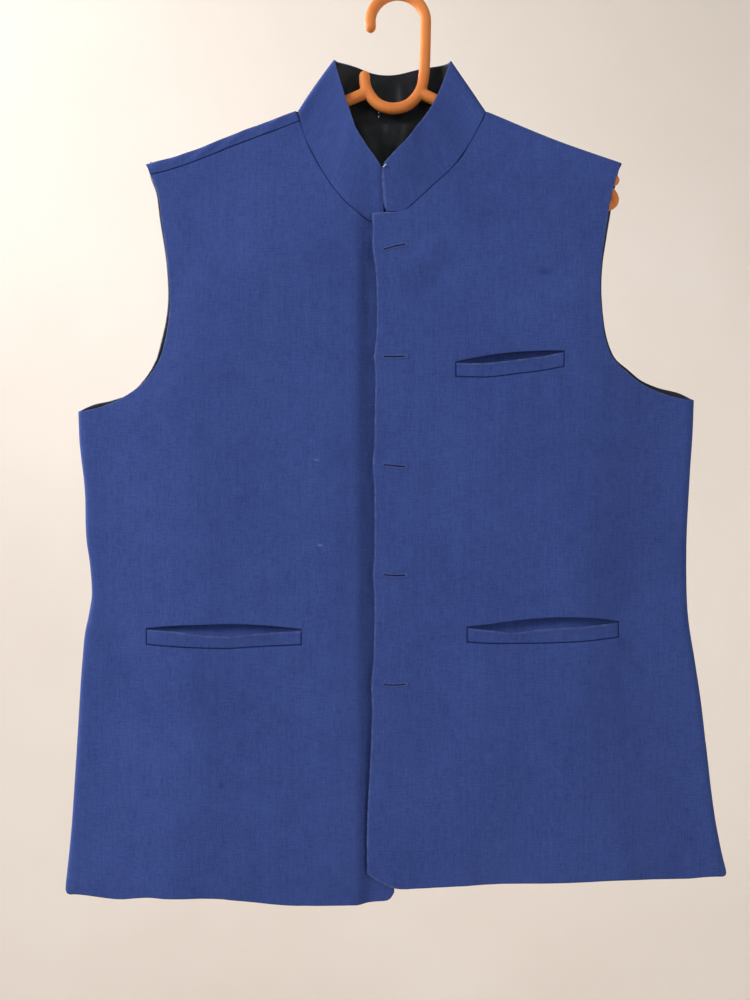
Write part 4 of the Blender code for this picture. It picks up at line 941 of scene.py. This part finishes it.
def blue_cloth():
    """Slubbed plain weave in blue: uneven heathered threads both ways and soft fading, with painted shade along seams
    and rims over the seams' own dark lines, and turned edges paled partly by wear and partly as a painted highlight.
    """
    made, tree, shader = new_material("blue_slub_cloth")
    flat = attribute(tree, "flat", "Vector")
    upright = noise(tree, flat, (900.0, 90.0, 1.0), 3.0, 0.66)
    level = noise(tree, flat, (80.0, 900.0, 1.0), 3.0, 0.66)
    heather = noise(tree, flat, (800.0, 640.0, 1.0), 2.0, 0.6)
    slubs = noise(tree, flat, (330.0, 12.0, 1.0), 2.0, 0.5)
    nubs = noise(tree, flat, (420.0, 300.0, 1.0), 1.0)
    blotch = noise(tree, flat, 46.0, 4.0, 0.62)
    fading = noise(tree, flat, 9.0, 2.0, 0.5)
    weave = weave_height(tree, flat, THREAD_PITCH)
    tone = weighted(tree, (level, 0.42), (upright, 0.50), (heather, 0.46), (slubs, 0.16), (blotch, 0.20),
                    (fading, 0.18), (weave, 0.18))
    colour = mixed(tree, linear(tree, tone, 0.74, 1.30), DARK_BLUE, LIGHT_BLUE)
    pale_nub = math_node(tree, "MULTIPLY", ranged(tree, nubs, 0.76, 0.86), 0.22)
    colour = mixed(tree, pale_nub, colour, PALE_BLUE)
    for u, v, wide, high, strength in MARKS:
        gap = vector_math(tree, "SUBTRACT", flat, (u * MM, v * MM, 0.0)).outputs[0]
        gap = vector_math(tree, "MULTIPLY", gap, (1 / (wide * MM), 1 / (high * MM), 0.0)).outputs[0]
        length = vector_math(tree, "LENGTH", gap).outputs["Value"]
        spot = math_node(tree, "MULTIPLY", ranged(tree, length, 1.0, 0.2), abs(strength))
        colour = mixed(tree, spot, colour, STAIN_BLUE if strength > 0 else PALE_BLUE)
    # Painted shade within about a millimetre of every seam, cut edge and rolled rim, over the seams' own dark line
    shade = math_node(tree, "MULTIPLY", ranged(tree, attribute(tree, "seam", "Fac"), 1.05, 0.25), 0.76)
    colour = mixed(tree, shade, colour, SEAM_SHADE_BLUE)
    # Turned edges painted paler, broken up by noise: partly wear from rubbing, partly a painted highlight
    breaks = noise(tree, flat, 150.0, 3.0, 0.65)
    rubbed_and_highlit = math_node(tree, "MULTIPLY", ranged(tree, attribute(tree, "worn_and_highlit", "Fac"), 2.4, 0.3),
                       ranged(tree, breaks, 0.38, 0.66, 0.35, 1.0))
    colour = mixed(tree, math_node(tree, "MULTIPLY", rubbed_and_highlit, 0.46), colour, WORN_AND_HIGHLIGHT_BLUE)
    height = weighted(tree, (level, 0.7), (upright, 0.8), (heather, 0.5), (weave, 0.55))
    finish_surface(tree, shader, colour, linear(tree, blotch, 0.3, 0.7, 0.84, 0.94), (height, 0.45, 0.00030),
                   Specular_IOR_Level=0.12, Sheen_Weight=0.07, Sheen_Roughness=0.5,
                   Sheen_Tint=(0.40, 0.52, 1.0, 1.0))
    return made


def black_lining():
    """Black satin lining: a tight fine weave with soft streaks and a low sheen."""
    made, tree, shader = new_material("black_satin_lining")
    flat = attribute(tree, "flat", "Vector")
    streaks = noise(tree, flat, (520.0, 26.0, 1.0), 3.0, 0.6)
    blotch = noise(tree, flat, 60.0, 3.0, 0.6)
    weave = weave_height(tree, flat, LINING_PITCH)
    tone = weighted(tree, (blotch, 0.5), (streaks, 0.5))
    colour = mixed(tree, linear(tree, tone, 0.3, 0.7), DARK_BLACK, LIGHT_BLACK)
    height = weighted(tree, (streaks, 0.5), (weave, 0.6))
    finish_surface(tree, shader, colour, linear(tree, blotch, 0.3, 0.7, 0.40, 0.54), (height, 0.3, 0.00018),
                   Specular_IOR_Level=0.26)
    return made


def orange_plastic():
    """Moulded orange plastic: flow streaks, fine scuffs and the mould's parting line round the tube, drawn darker as
    a painted shade along the tube's edges.
    """
    made, tree, shader = new_material("orange_moulded_plastic")
    place = object_place(tree)
    flow = noise(tree, place, (26.0, 60.0, 26.0), 3.0, 0.6)
    scuffs = noise(tree, place, (900.0, 900.0, 240.0), 2.0, 0.6)
    colour = mixed(tree, linear(tree, flow, 0.32, 0.68), DARK_ORANGE, LIGHT_ORANGE)
    y = node(tree, "ShaderNodeSeparateXYZ", None, Vector=place).outputs[1]
    line = ranged(tree, math_node(tree, "ABSOLUTE", y), 0.00045, 0.00015)
    # The parting line is a real mould ridge; its darker colour is painted shade along the tube's edges
    colour = mixed(tree, math_node(tree, "MULTIPLY", line, 0.35), colour, PARTING_SHADE_ORANGE)
    height = weighted(tree, (line, 1.0), (scuffs, 0.3))
    finish_surface(tree, shader, colour, linear(tree, scuffs, 0.35, 0.7, 0.50, 0.68), (height, 0.2, 0.0002),
                   Specular_IOR_Level=0.28, Subsurface_Weight=0.30, Subsurface_Scale=0.006)
    return made


def thread_material(name, dark, light):
    """Twisted sewing thread: fine slanting ply lines and slight fuzz."""
    made, tree, shader = new_material(name)
    ply = noise(tree, object_place(tree), (2600.0, 2600.0, 900.0), 2.0, 0.6)
    colour = mixed(tree, linear(tree, ply, 0.35, 0.65), dark, light)
    finish_surface(tree, shader, colour, linear(tree, ply, 0.3, 0.7, 0.55, 0.75), (ply, 0.4, 0.0001),
                   Specular_IOR_Level=0.15)
    return made


def button_plastic():
    """Dark blue plastic with a faint swirl."""
    made, tree, shader = new_material("dark_blue_button")
    swirl = noise(tree, object_place(tree), (160.0, 160.0, 420.0), 4.0, 0.6)
    colour = mixed(tree, linear(tree, swirl, 0.35, 0.65), (0.006, 0.010, 0.035, 1), (0.022, 0.034, 0.095, 1))
    finish_surface(tree, shader, colour, linear(tree, swirl, 0.3, 0.7, 0.28, 0.42))
    return made


def stage_material(name, dark, light, scale):
    made, tree, shader = new_material(name)
    cloud = noise(tree, object_place(tree), scale, 4.0, 0.55)
    colour = mixed(tree, linear(tree, cloud, 0.35, 0.65), dark, light)
    finish_surface(tree, shader, colour, 0.9, Specular_IOR_Level=0.1)
    return made


# Pieces of the garment

def slit_middle(number, share):
    """Height of a buttonhole's middle line, at a share of its length."""
    level, tilt, bow = button_heights()[number], BUTTONHOLE_TILTS[number], BUTTONHOLE_BOWS[number]
    return level + tilt * (share - 0.5) + bow * np.sin(math.pi * share)


def buttonhole(number):
    """Outline of a worked buttonhole's slit, with round ends."""
    share = np.linspace(0.0, 1.0, 15)
    x = BUTTONHOLE_X + BUTTONHOLE_LENGTH * share
    half = BUTTONHOLE_WIDTH / 2 * np.sin(math.pi * np.clip(share, 0.06, 0.94)) ** 0.4
    low, high = (np.c_[x, slit_middle(number, share) + side * half] for side in (-1, 1))
    return np.concatenate([low, high[::-1]])


def band(rows, low, high, end_inset, count):
    """A closed outline between two columns of a pocket's table, each moved by the amount given with it."""
    rows = np.array(rows, float)
    x = np.linspace(rows[0, 0] + end_inset, rows[-1, 0] - end_inset, count)
    inner = np.clip(x, rows[0, 0], rows[-1, 0])
    bottom = spline(rows[:, [0, low[0]]], inner) + low[1]
    top = spline(rows[:, [0, high[0]]], inner) + high[1]
    ends = [np.linspace(bottom[-1], top[-1], 5)[1:-1], np.linspace(top[0], bottom[0], 5)[1:-1]]
    right = np.stack([np.full(3, x[-1]), ends[0]], axis=1)
    left = np.stack([np.full(3, x[0]), ends[1]], axis=1)
    return np.concatenate([np.stack([x, bottom], axis=1), right, np.stack([x, top], axis=1)[::-1], left])


def pocket_hole(rows):
    """The hole in the front that the welt and the pocket's mouth fill."""
    return band(rows, (1, -0.1), (3, 0.0), -0.1, 46)


def hold(piece, stands_for=None):
    """Fixes a piece to the body, in place of a node where one is named."""
    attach(piece, "root")
    if stands_for:
        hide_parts(stands_for)


def declare(piece, node_name):
    """Fixes a cloth piece to the body in place of its node."""
    hold(piece, node_name)


def add_pocket(name, surface, rows, cloth):
    """A welt that fills the lower part of the pocket's hole, and the facing behind its open mouth."""
    table = np.array(rows, float)

    def gape(u, v):
        share = np.clip((u - table[0, 0]) / (table[-1, 0] - table[0, 0]), 0.0, 1.0)
        low, high = spline(table[:, [0, 1]], u), spline(table[:, [0, 2]], u)
        lift = np.clip((v - low) / (high - low), 0.0, 1.0)
        crown = 0.25 * np.sin(math.pi * lift) * np.sin(math.pi * share) ** 0.3
        return crown + WELT_GAPE * np.sin(math.pi * share) ** 0.7 * lift ** 2

    def sink(u, v):
        top = spline(table[:, [0, 3]], u)
        share = np.clip((u - table[0, 0]) / (table[-1, 0] - table[0, 0]), 0.0, 1.0)
        mouth = np.sin(math.pi * share) ** 0.5 * bell(v - top + 5.5, 7.5)
        return -(CLOTH + LINING_GAP + FACING_SINK * mouth)

    outline = band(rows, (1, 0.1), (2, 0.0), 0.1, 46)
    lip = np.stack([table[:, 0], table[:, 2]], axis=1)
    welt = add_cloth("welt_cloth_" + name, outline, [], surface, FRONT, gape, CLOTH, [cloth], 2.6, (1.2, 2.6),
                     worn_and_highlit=[lip])
    declare(welt, "welt_" + name)
    outline = band(rows, (1, -FACING_DROP), (3, FACING_MARGIN), -FACING_MARGIN, 40)
    facing = add_cloth("pocket_cloth_" + name, outline, [], surface, FRONT, sink, FACING_THICK, [cloth], 3.4, (1.6,))
    declare(facing, "pocket_facing_" + name)


def collar_lines():
    """Bottom and top edges of the collar's outer face, station by station."""
    bottom, top = [], []
    for panel, x, z, *top_place in COLLAR:
        flat = ridge_point(x, 0.0) if panel == "ridge" else flat_place(x, z)
        place = torso(*flat, BACK if panel in ("ridge", "back") else FRONT, detail=False)
        if panel == "right":
            place[1] += under_lap(place[0], flat[1])
        bottom.append(place)
        top.append(top_place)
    return np.array(bottom), np.array(top)


def collar_creases(u, v):
    """Soft upright creases of the collar's lining, deepest at its middle."""
    height = 0.6 + 0.8 * wave(u, 26.0, 0.5 + v / 19.0) + 0.45 * wave(u, 13.0, 1.8)
    return np.clip(height, 0.0, None) * np.sin(math.pi * np.clip(v / 45.0, 0.0, 1.0))


class Collar:
    """The standing band as a surface: u runs along it from the end that laps over, v up from the seam."""

    def __init__(self):
        self.bottom, self.top = collar_lines()
        self.number = np.arange(len(self.bottom), dtype=float)
        fine = np.linspace(0.0, self.number[-1], 600)
        middle = (self.at(self.bottom, fine) + self.at(self.top, fine)) / 2
        walked = np.r_[0.0, np.cumsum(np.linalg.norm(np.diff(middle, axis=0), axis=1))]
        self.stations = np.c_[walked, fine]
        self.length = walked[-1]

    def at(self, line, station):
        return np.stack([spline(np.c_[self.number, column], station) for column in line.T], axis=-1)

    def height(self, u):
        station = np.interp(u, self.stations[:, 0], self.stations[:, 1])
        return np.linalg.norm(self.at(self.top, station) - self.at(self.bottom, station), axis=-1)

    def surface(self, u, v, face):
        """The band's outer face, softly uneven, with a shallow hollow where it meets the seam."""
        u, v = np.broadcast_arrays(np.asarray(u, float), np.asarray(v, float))
        station = np.interp(u, self.stations[:, 0], self.stations[:, 1])
        bottom, top = self.at(self.bottom, station), self.at(self.top, station)
        start = self.at(self.bottom, np.array(0.1)) - self.at(self.bottom, np.array(0.0))
        before = np.clip(-u, 0.0, None)[..., None] * start / np.linalg.norm(start)
        share = v / np.linalg.norm(top - bottom, axis=-1)
        place = bottom + (top - bottom) * share[..., None]
        way = self.at(self.bottom, station + 0.02) - self.at(self.bottom, station - 0.02)
        out = np.cross(way, top - bottom)
        out /= np.linalg.norm(out, axis=-1, keepdims=True)
        relief = 0.5 * wave(u, 71.0, 0.7) * np.sin(math.pi * np.clip(share, 0, 1))
        relief += 0.26 * wave(u, 43.0, 2.1 + share) + 0.16 * wave(u, 27.0, 4 * share)
        return place - before + out * ((relief - 0.3) * smooth((share + 0.02) / 0.25))[..., None]

    def free_edge(self):
        """The band's turned edge: up one end, along the top and down the other."""
        u = np.linspace(0.0, self.length, 60)
        return np.concatenate([[(0.0, 4.0)], np.c_[u, self.height(u)], [(self.length, 4.0)]])

    def outline(self, low, high, end):
        """The band's flat shape: low above the seam, high below its top, end in from both ends."""
        u = np.linspace(end, self.length - end, round(self.length / EDGE_STEP))
        top = self.height(u) - high
        from_end = np.minimum(u - end, self.length - end - u)
        rounding = np.clip(COLLAR_CORNER - from_end, 0.0, COLLAR_CORNER)
        top = top - (COLLAR_CORNER - np.sqrt(COLLAR_CORNER ** 2 - rounding ** 2)) * 0.9
        right = [(u[-1], v) for v in np.linspace(low, top[-1], 12)[1:-1]]
        left = [(u[0] - COLLAR_END_BULGE * math.sin(math.pi * v / top[0]) ** 0.8, v)
                for v in np.linspace(top[0], max(low, 0.0), 12)[1:-1]]
        return np.concatenate([np.c_[u, np.full(len(u), low)], right, np.c_[u, top][::-1], left])


def add_collar(cloth, lining):
    collar = Collar()
    outer = add_cloth("collar_band", collar.outline(-0.15, 0.0, 0.0), [], collar.surface, FRONT, 0.0, CLOTH,
                      [cloth], 2.6, (1.2, 2.8), worn_and_highlit=[collar.free_edge()])
    declare(outer, "collar_outer")
    inner = add_cloth("collar_inner_lining", collar.outline(-COLLAR_TUCK, 1.3, 2.0), [], collar.surface, FRONT,
                      lambda u, v: -(CLOTH + LINING_GAP) - collar_creases(u, v), LINING, [lining], 2.6, (1.2, 2.8))
    declare(inner, "collar_lining")
    return collar


# Thread, buttons and hanger

def turns(sides):
    return [2 * math.pi * k / sides for k in range(sides)]


def ring_faces(rings, sides, first=0):
    """Faces between rings of points that follow each other, numbered from first."""
    return [tuple(first + i for i in (r * sides + k, r * sides + (k + 1) % sides,
                                      (r + 1) * sides + (k + 1) % sides, (r + 1) * sides + k))
            for r in range(rings - 1) for k in range(sides)]


def thread_tube(path, radius):
    """Points and faces of a thin tube that follows a path of x, y, z; radius may vary along it."""
    path = np.array(path, float)
    radius = np.broadcast_to(radius, len(path))
    way = np.gradient(path, axis=0)
    way /= np.linalg.norm(way, axis=1, keepdims=True)
    spare = np.array([0.0, 1.0, 0.0]) if abs(way[0][1]) < 0.9 else np.array([1.0, 0.0, 0.0])
    verts = []
    for centre, direction, reach in zip(path, way, radius):
        side = np.cross(direction, spare)
        side /= np.linalg.norm(side)
        other = np.cross(direction, side)
        verts += [centre + reach * (side * math.cos(a) + other * math.sin(a)) for a in turns(THREAD_SIDES)]
    ends = [tuple(range(THREAD_SIDES))[::-1], tuple(range(len(verts) - THREAD_SIDES, len(verts)))]
    return verts, ring_faces(len(path), THREAD_SIDES) + ends


def joined(parts):
    """Points and faces of several meshes as one."""
    verts, faces = [], []
    for part_verts, part_faces in parts:
        faces += [tuple(i + len(verts) for i in f) for f in part_faces]
        verts += list(part_verts)
    return verts, faces


def add_buttonhole_stitches(number, finish):
    """Close stitches along both lips of a slit, a purled cord on each lip and a bar across its far end."""
    paths = []
    count = round(BUTTONHOLE_LENGTH / STITCH_PITCH)
    reach = np.linspace(0.0, 1.0, 6)
    along_slit = np.linspace(0.0, 1.0, count * 3)
    for side in (-1, 1):
        for i in range(count + 1):
            share = i / count
            uneven = 0.18 * math.sin(i * 2.4 + number) + 0.12 * math.sin(i * 5.1 + side)
            u = BUTTONHOLE_X + BUTTONHOLE_LENGTH * share + reach * 0.2 * math.sin(i * 1.7)
            v = slit_middle(number, share) + side * (PURL_OFFSET - 0.3 + (STITCH_REACH + uneven) * reach)
            lift = -0.25 + 0.5 * np.sin(math.pi * (0.12 + 0.88 * reach)) ** 0.7
            paths.append((u, v, lift, THREAD))
        knots = PURL_RADIUS * (0.82 + 0.18 * np.sin(along_slit * count * 2 * math.pi))
        paths.append((BUTTONHOLE_X + BUTTONHOLE_LENGTH * along_slit,
                      slit_middle(number, along_slit) + side * PURL_OFFSET, np.full(len(along_slit), 0.2), knots))
    for end, bars, half in ((1.0, 6, 2.3), (0.0, 3, 1.7)):
        for i in range(bars):
            u = BUTTONHOLE_X + BUTTONHOLE_LENGTH * end + (1 if end else -1) * (0.4 + 0.52 * i)
            v = slit_middle(number, end) + half * (2 * reach - 1) * (1.0 - 0.05 * i)
            lift = -0.2 + 0.66 * np.sin(math.pi * reach) ** 0.5
            paths.append((np.full(6, u), v, lift, THREAD))
    u, v, lift = (np.concatenate([path[k] for path in paths]) for k in range(3))
    place, _, _, normal = tangents(torso, u, v, FRONT)
    places = np.split(place + normal * lift[:, None], np.cumsum([len(path[0]) for path in paths])[:-1])
    tubes = [thread_tube(points, path[3]) for points, path in zip(places, paths)]
    hold(add_mesh(f"buttonhole_stitches_{number + 1}", *joined(tubes), [finish]))


def add_thread_ends(white, collar):
    """Two loose thread ends at the collar's corner, and two stitches on its lining."""
    corner = collar.surface(np.array([1.0]), np.array([39.0]), FRONT)[0] + (0.4, -0.9, 0.6)
    t = np.linspace(0.0, 1.0, 9)
    parts = [thread_tube(corner + np.c_[2.6 * t, -0.8 * np.sin(math.pi * t), 2.2 * np.sin(1.7 * t)], 0.36),
             thread_tube(corner + np.c_[-0.6 * t, -0.5 * t, 1.5 * t - 2.0 * t * t], 0.3)]
    nearest = np.linspace(0.0, collar.length, 400)
    seam = collar.surface(nearest, np.full(400, 6.0), FRONT)
    u = nearest[np.argmin(np.abs(seam[:, 0] - LABEL_STITCH_X) + 99.0 * (seam[:, 1] < 5.0))]
    for v in LABEL_STITCH_HEIGHTS:
        at = np.array([v - 0.9, v - 0.3, v + 0.3, v + 0.9])
        place, _, _, normal = tangents(collar.surface, np.full(4, u), at, FRONT)
        deep = CLOTH + 0.2 + LINING + collar_creases(np.full(4, u), at)
        parts.append(thread_tube(place - normal * (deep + np.array([-0.2, 0.25, 0.25, -0.2]))[:, None], 0.3))
    hold(add_mesh("collar_thread_ends", *joined(parts), [white]))


def add_button(number, finish, thread):
    """A turned button with a raised rim and a dished face, and the crossed thread that sews it on."""
    height = np.array(button_heights()[number])
    place, across, up, normal = tangents(right_front_cloth, np.array(BUTTON_X), height, FRONT)

    def above(rise):
        return normal * (SEAM_GAP + BUTTON_THICK * rise)

    verts = [place + above(BUTTON_PROFILE[0][1])]
    for share, rise in BUTTON_PROFILE[1:-1]:
        verts += [place + (across * math.cos(a) + up * math.sin(a)) * (BUTTON_RADIUS * share) + above(rise)
                  for a in turns(BUTTON_SIDES)]
    verts.append(place + above(BUTTON_PROFILE[-1][1]))
    last = len(verts) - 1 - BUTTON_SIDES
    faces = ring_faces(len(BUTTON_PROFILE) - 2, BUTTON_SIDES, 1)
    faces += [(0, 1 + (k + 1) % BUTTON_SIDES, 1 + k) for k in range(BUTTON_SIDES)]
    faces += [(last + k, last + (k + 1) % BUTTON_SIDES, len(verts) - 1) for k in range(BUTTON_SIDES)]
    hold(add_mesh(f"button_turned_{number + 1}", verts, faces, [finish]), f"button_{number + 1}")
    parts = []
    for way in (-1, 1):
        ends = [place + (across + up * way) * 1.7 * s + above(0.72) for s in (-1, 1)]
        t = np.linspace(0.0, 1.0, 7)[:, None]
        path = ends[0] * (1 - t) + ends[1] * t + normal * (0.45 * np.sin(math.pi * t) - 0.1)
        parts.append(thread_tube(path, 0.42))
    hold(add_mesh(f"button_thread_{number + 1}", *joined(parts), [thread]))


def tube(route, round_start, round_end):
    """Points and faces of a closed tube along a route of x, z in the hanger's plane."""
    radius = TUBE_RADIUS + MELT_SHRINK
    route = np.array(route, float)
    way = np.gradient(route, axis=0)
    way /= np.linalg.norm(way, axis=1, keepdims=True)
    rings = [(route[i], way[i], radius) for i in range(len(route))]
    for end, sign, asked in ((0, -1, round_start), (-1, 1, round_end)):
        if asked:
            tips = [(route[end] + way[end] * sign * radius * math.sin(a), way[end], radius * math.cos(a))
                    for a in map(math.radians, TIP_ANGLES)]
            rings = tips[::-1] + rings if end == 0 else rings + tips
    verts = []
    for centre, ahead, reach in rings:
        side = np.array([ahead[1], -ahead[0]])
        for angle in turns(TUBE_SIDES):
            x, z = centre + side * math.cos(angle) * reach
            verts.append((x, math.sin(angle) * reach, z))
    faces = [(a, d, c, b) for a, b, c, d in ring_faces(len(rings), TUBE_SIDES)]
    faces += [tuple(range(TUBE_SIDES)), tuple(range(len(verts) - TUBE_SIDES, len(verts)))[::-1]]
    return verts, faces


def add_hanger(finish):
    """The moulded hanger: its tubes melted into one body, with soft fillets where they meet."""
    angles = np.radians(np.linspace(HOOK_TIP_ANGLE, 0.0, 44))
    hook = [(HOOK_RADIUS * math.cos(a), HOOK_CENTRE_Z + HOOK_RADIUS * math.sin(a)) for a in angles]
    stem = np.concatenate([hook, along(NECK_ROUTE, 2.5)])
    bar = np.concatenate([along(BAR_RIGHT_END, 2.5), along(BAR_LEFT_END, 2.5)])
    parts = [tube(stem, True, True), tube(along(RIGHT_ARM, 5.0), False, True),
             tube(along(LEFT_ARM, 5.0), False, True), tube(bar, False, False)]
    made = add_mesh("hanger_tube", *joined(parts), [finish])
    remesh = made.modifiers.new("melt", "REMESH")
    remesh.mode = "VOXEL"
    remesh.voxel_size = MELT_VOXEL * MM
    remesh.use_smooth_shade = True
    soften = made.modifiers.new("soften", "SMOOTH")
    soften.factor = 0.5
    soften.iterations = 9
    depsgraph = bpy.context.evaluated_depsgraph_get()
    mesh = bpy.data.meshes.new_from_object(made.evaluated_get(depsgraph))
    made.modifiers.clear()
    made.data = mesh
    mesh.polygons.foreach_set("use_smooth", np.full(len(mesh.polygons), True))
    if not mesh.materials:
        mesh.materials.append(finish)
    hold(made, "hanger")


# Stage

def add_plane(name, width, depth, place, turn, finish):
    mesh = bpy.data.meshes.new(name)
    half_w, half_d = width / 2, depth / 2
    mesh.from_pydata([(-half_w, -half_d, 0), (half_w, -half_d, 0), (half_w, half_d, 0), (-half_w, half_d, 0)], [],
                     [(0, 1, 2, 3)])
    mesh.materials.append(finish)
    made = bpy.data.objects.new(name, mesh)
    made.location = place
    made.rotation_euler = turn
    bpy.context.scene.collection.objects.link(made)


def add_light(name, place, aim, size, power, colour, spread=180.0):
    light = bpy.data.lights.new(name, "AREA")
    light.shape = "DISK"
    light.spread = math.radians(spread)
    light.size = size
    light.energy = power
    light.color = colour
    made = bpy.data.objects.new(name, light)
    made.location = place
    made.rotation_euler = (Vector(aim) - Vector(place)).to_track_quat("-Z", "Y").to_euler()
    bpy.context.scene.collection.objects.link(made)


def add_stage():
    scene = bpy.context.scene
    camera = bpy.data.objects.new("camera", bpy.data.cameras.new("camera"))
    camera.location = [c * MM for c in CAMERA_PLACE]
    camera.rotation_euler = (math.radians(90.0), 0.0, 0.0)
    camera.data.lens = CAMERA_LENS
    camera.data.sensor_width = CAMERA_SENSOR
    scene.collection.objects.link(camera)
    scene.camera = camera
    scene.view_settings.view_transform = "Standard"
    world = bpy.data.worlds.new("room")
    scene.world = world
    world.use_nodes = True
    background = world.node_tree.nodes["Background"]
    background.inputs["Color"].default_value = (0.96, 0.92, 0.87, 1.0)
    background.inputs["Strength"].default_value = 0.40
    plaster = stage_material("cream_plaster", (0.87, 0.805, 0.755, 1), (0.91, 0.85, 0.805, 1), 1.3)
    pale = stage_material("pale_floor", (0.745, 0.705, 0.655, 1), (0.765, 0.725, 0.675, 1), 2.0)
    add_plane("backdrop", 9.0, 7.0, (0.0, BACKDROP_Y * MM, -0.4), (math.radians(90.0), 0.0, 0.0), plaster)
    add_plane("floor", 40.0, 40.0, (0.0, 0.0, FLOOR_Z * MM), (0.0, 0.0, 0.0), pale)
    middle = (0.0, 0.0, -0.5)
    add_light("window", (-2.0, -1.35, 0.6), middle, 1.0, 57.0, (1.0, 0.975, 0.94))
    add_light("room_bounce", (1.5, -2.0, -0.2), middle, 1.8, 17.0, (1.0, 0.97, 0.94))
    add_light("wall_wash", (-1.5, 0.35, 1.25), (-0.1, 1.6, -1.0), 1.2, 15.0, (1.0, 0.945, 0.905))
    add_light("behind", (-2.0, 1.0, 0.5), (0.0, 0.1, -0.5), 0.7, 18.0, (1.0, 0.97, 0.93), 80.0)


def main():
    cloth, lining = blue_cloth(), black_lining()
    blue_thread = thread_material("blue_sewing_thread", (0.028, 0.050, 0.19, 1), (0.075, 0.120, 0.36, 1))
    white_thread = thread_material("white_thread", (0.55, 0.54, 0.5, 1), (0.85, 0.84, 0.8, 1))
    button_finish = button_plastic()
    add_stage()
    add_hanger(orange_plastic())

    slits = [buttonhole(i) for i in range(BUTTON_COUNT)]
    holes = slits + [pocket_hole(BREAST_POCKET), pocket_hole(LOWER_POCKET_LEFT)]
    worn_and_highlit = [lap_run(np.linspace(LAP_TOP - 4.0, LAP_FOOT + 1.0, 150)), seen(PLACKET_TOP),
            seen(PLACKET_FOOT + LEFT_FRONT_HEM[:2]), seen(RIGHT_ARMHOLE_FRONT)]
    front = add_cloth("front_left_cloth", left_front_outline(), holes, torso, FRONT, 0.0, CLOTH, [cloth, lining],
                      facing_width=FACING_WIDTH, worn_and_highlit=worn_and_highlit)
    declare(front, "front_left")
    add_pocket("breast", torso, BREAST_POCKET, cloth)
    add_pocket("lower_left", torso, LOWER_POCKET_LEFT, cloth)

    front = add_cloth("front_right_cloth", right_front_outline(), [pocket_hole(LOWER_POCKET_RIGHT)],
                      right_front_cloth, FRONT, 0.0, CLOTH, [cloth, lining], facing_width=FACING_WIDTH,
                      worn_and_highlit=[seen(LEFT_ARMHOLE_FRONT)])
    declare(front, "front_right")
    add_pocket("lower_right", right_front_cloth, LOWER_POCKET_RIGHT, cloth)

    back = add_cloth("back_cloth", back_outline(), [], torso, BACK, 0.0, CLOTH, [cloth],
                     worn_and_highlit=[seen(LEFT_ARMHOLE_BACK), seen(RIGHT_ARMHOLE_BACK)])
    declare(back, "back")
    lined = back_outline(LINING_INSET, BACK_HEM_RISE + LINING_HEM_RISE)
    inner = add_cloth("back_inner_lining", lined, [], torso, BACK,
                      lambda u, v: -(CLOTH + LINING_GAP) - fold_sum(LINING_CREASES, u, v), LINING, [lining])
    declare(inner, "back_lining")

    collar = add_collar(cloth, lining)
    for number in range(BUTTON_COUNT):
        add_buttonhole_stitches(number, blue_thread)
        add_button(number, button_finish, blue_thread)
    add_thread_ends(white_thread, collar)


main()
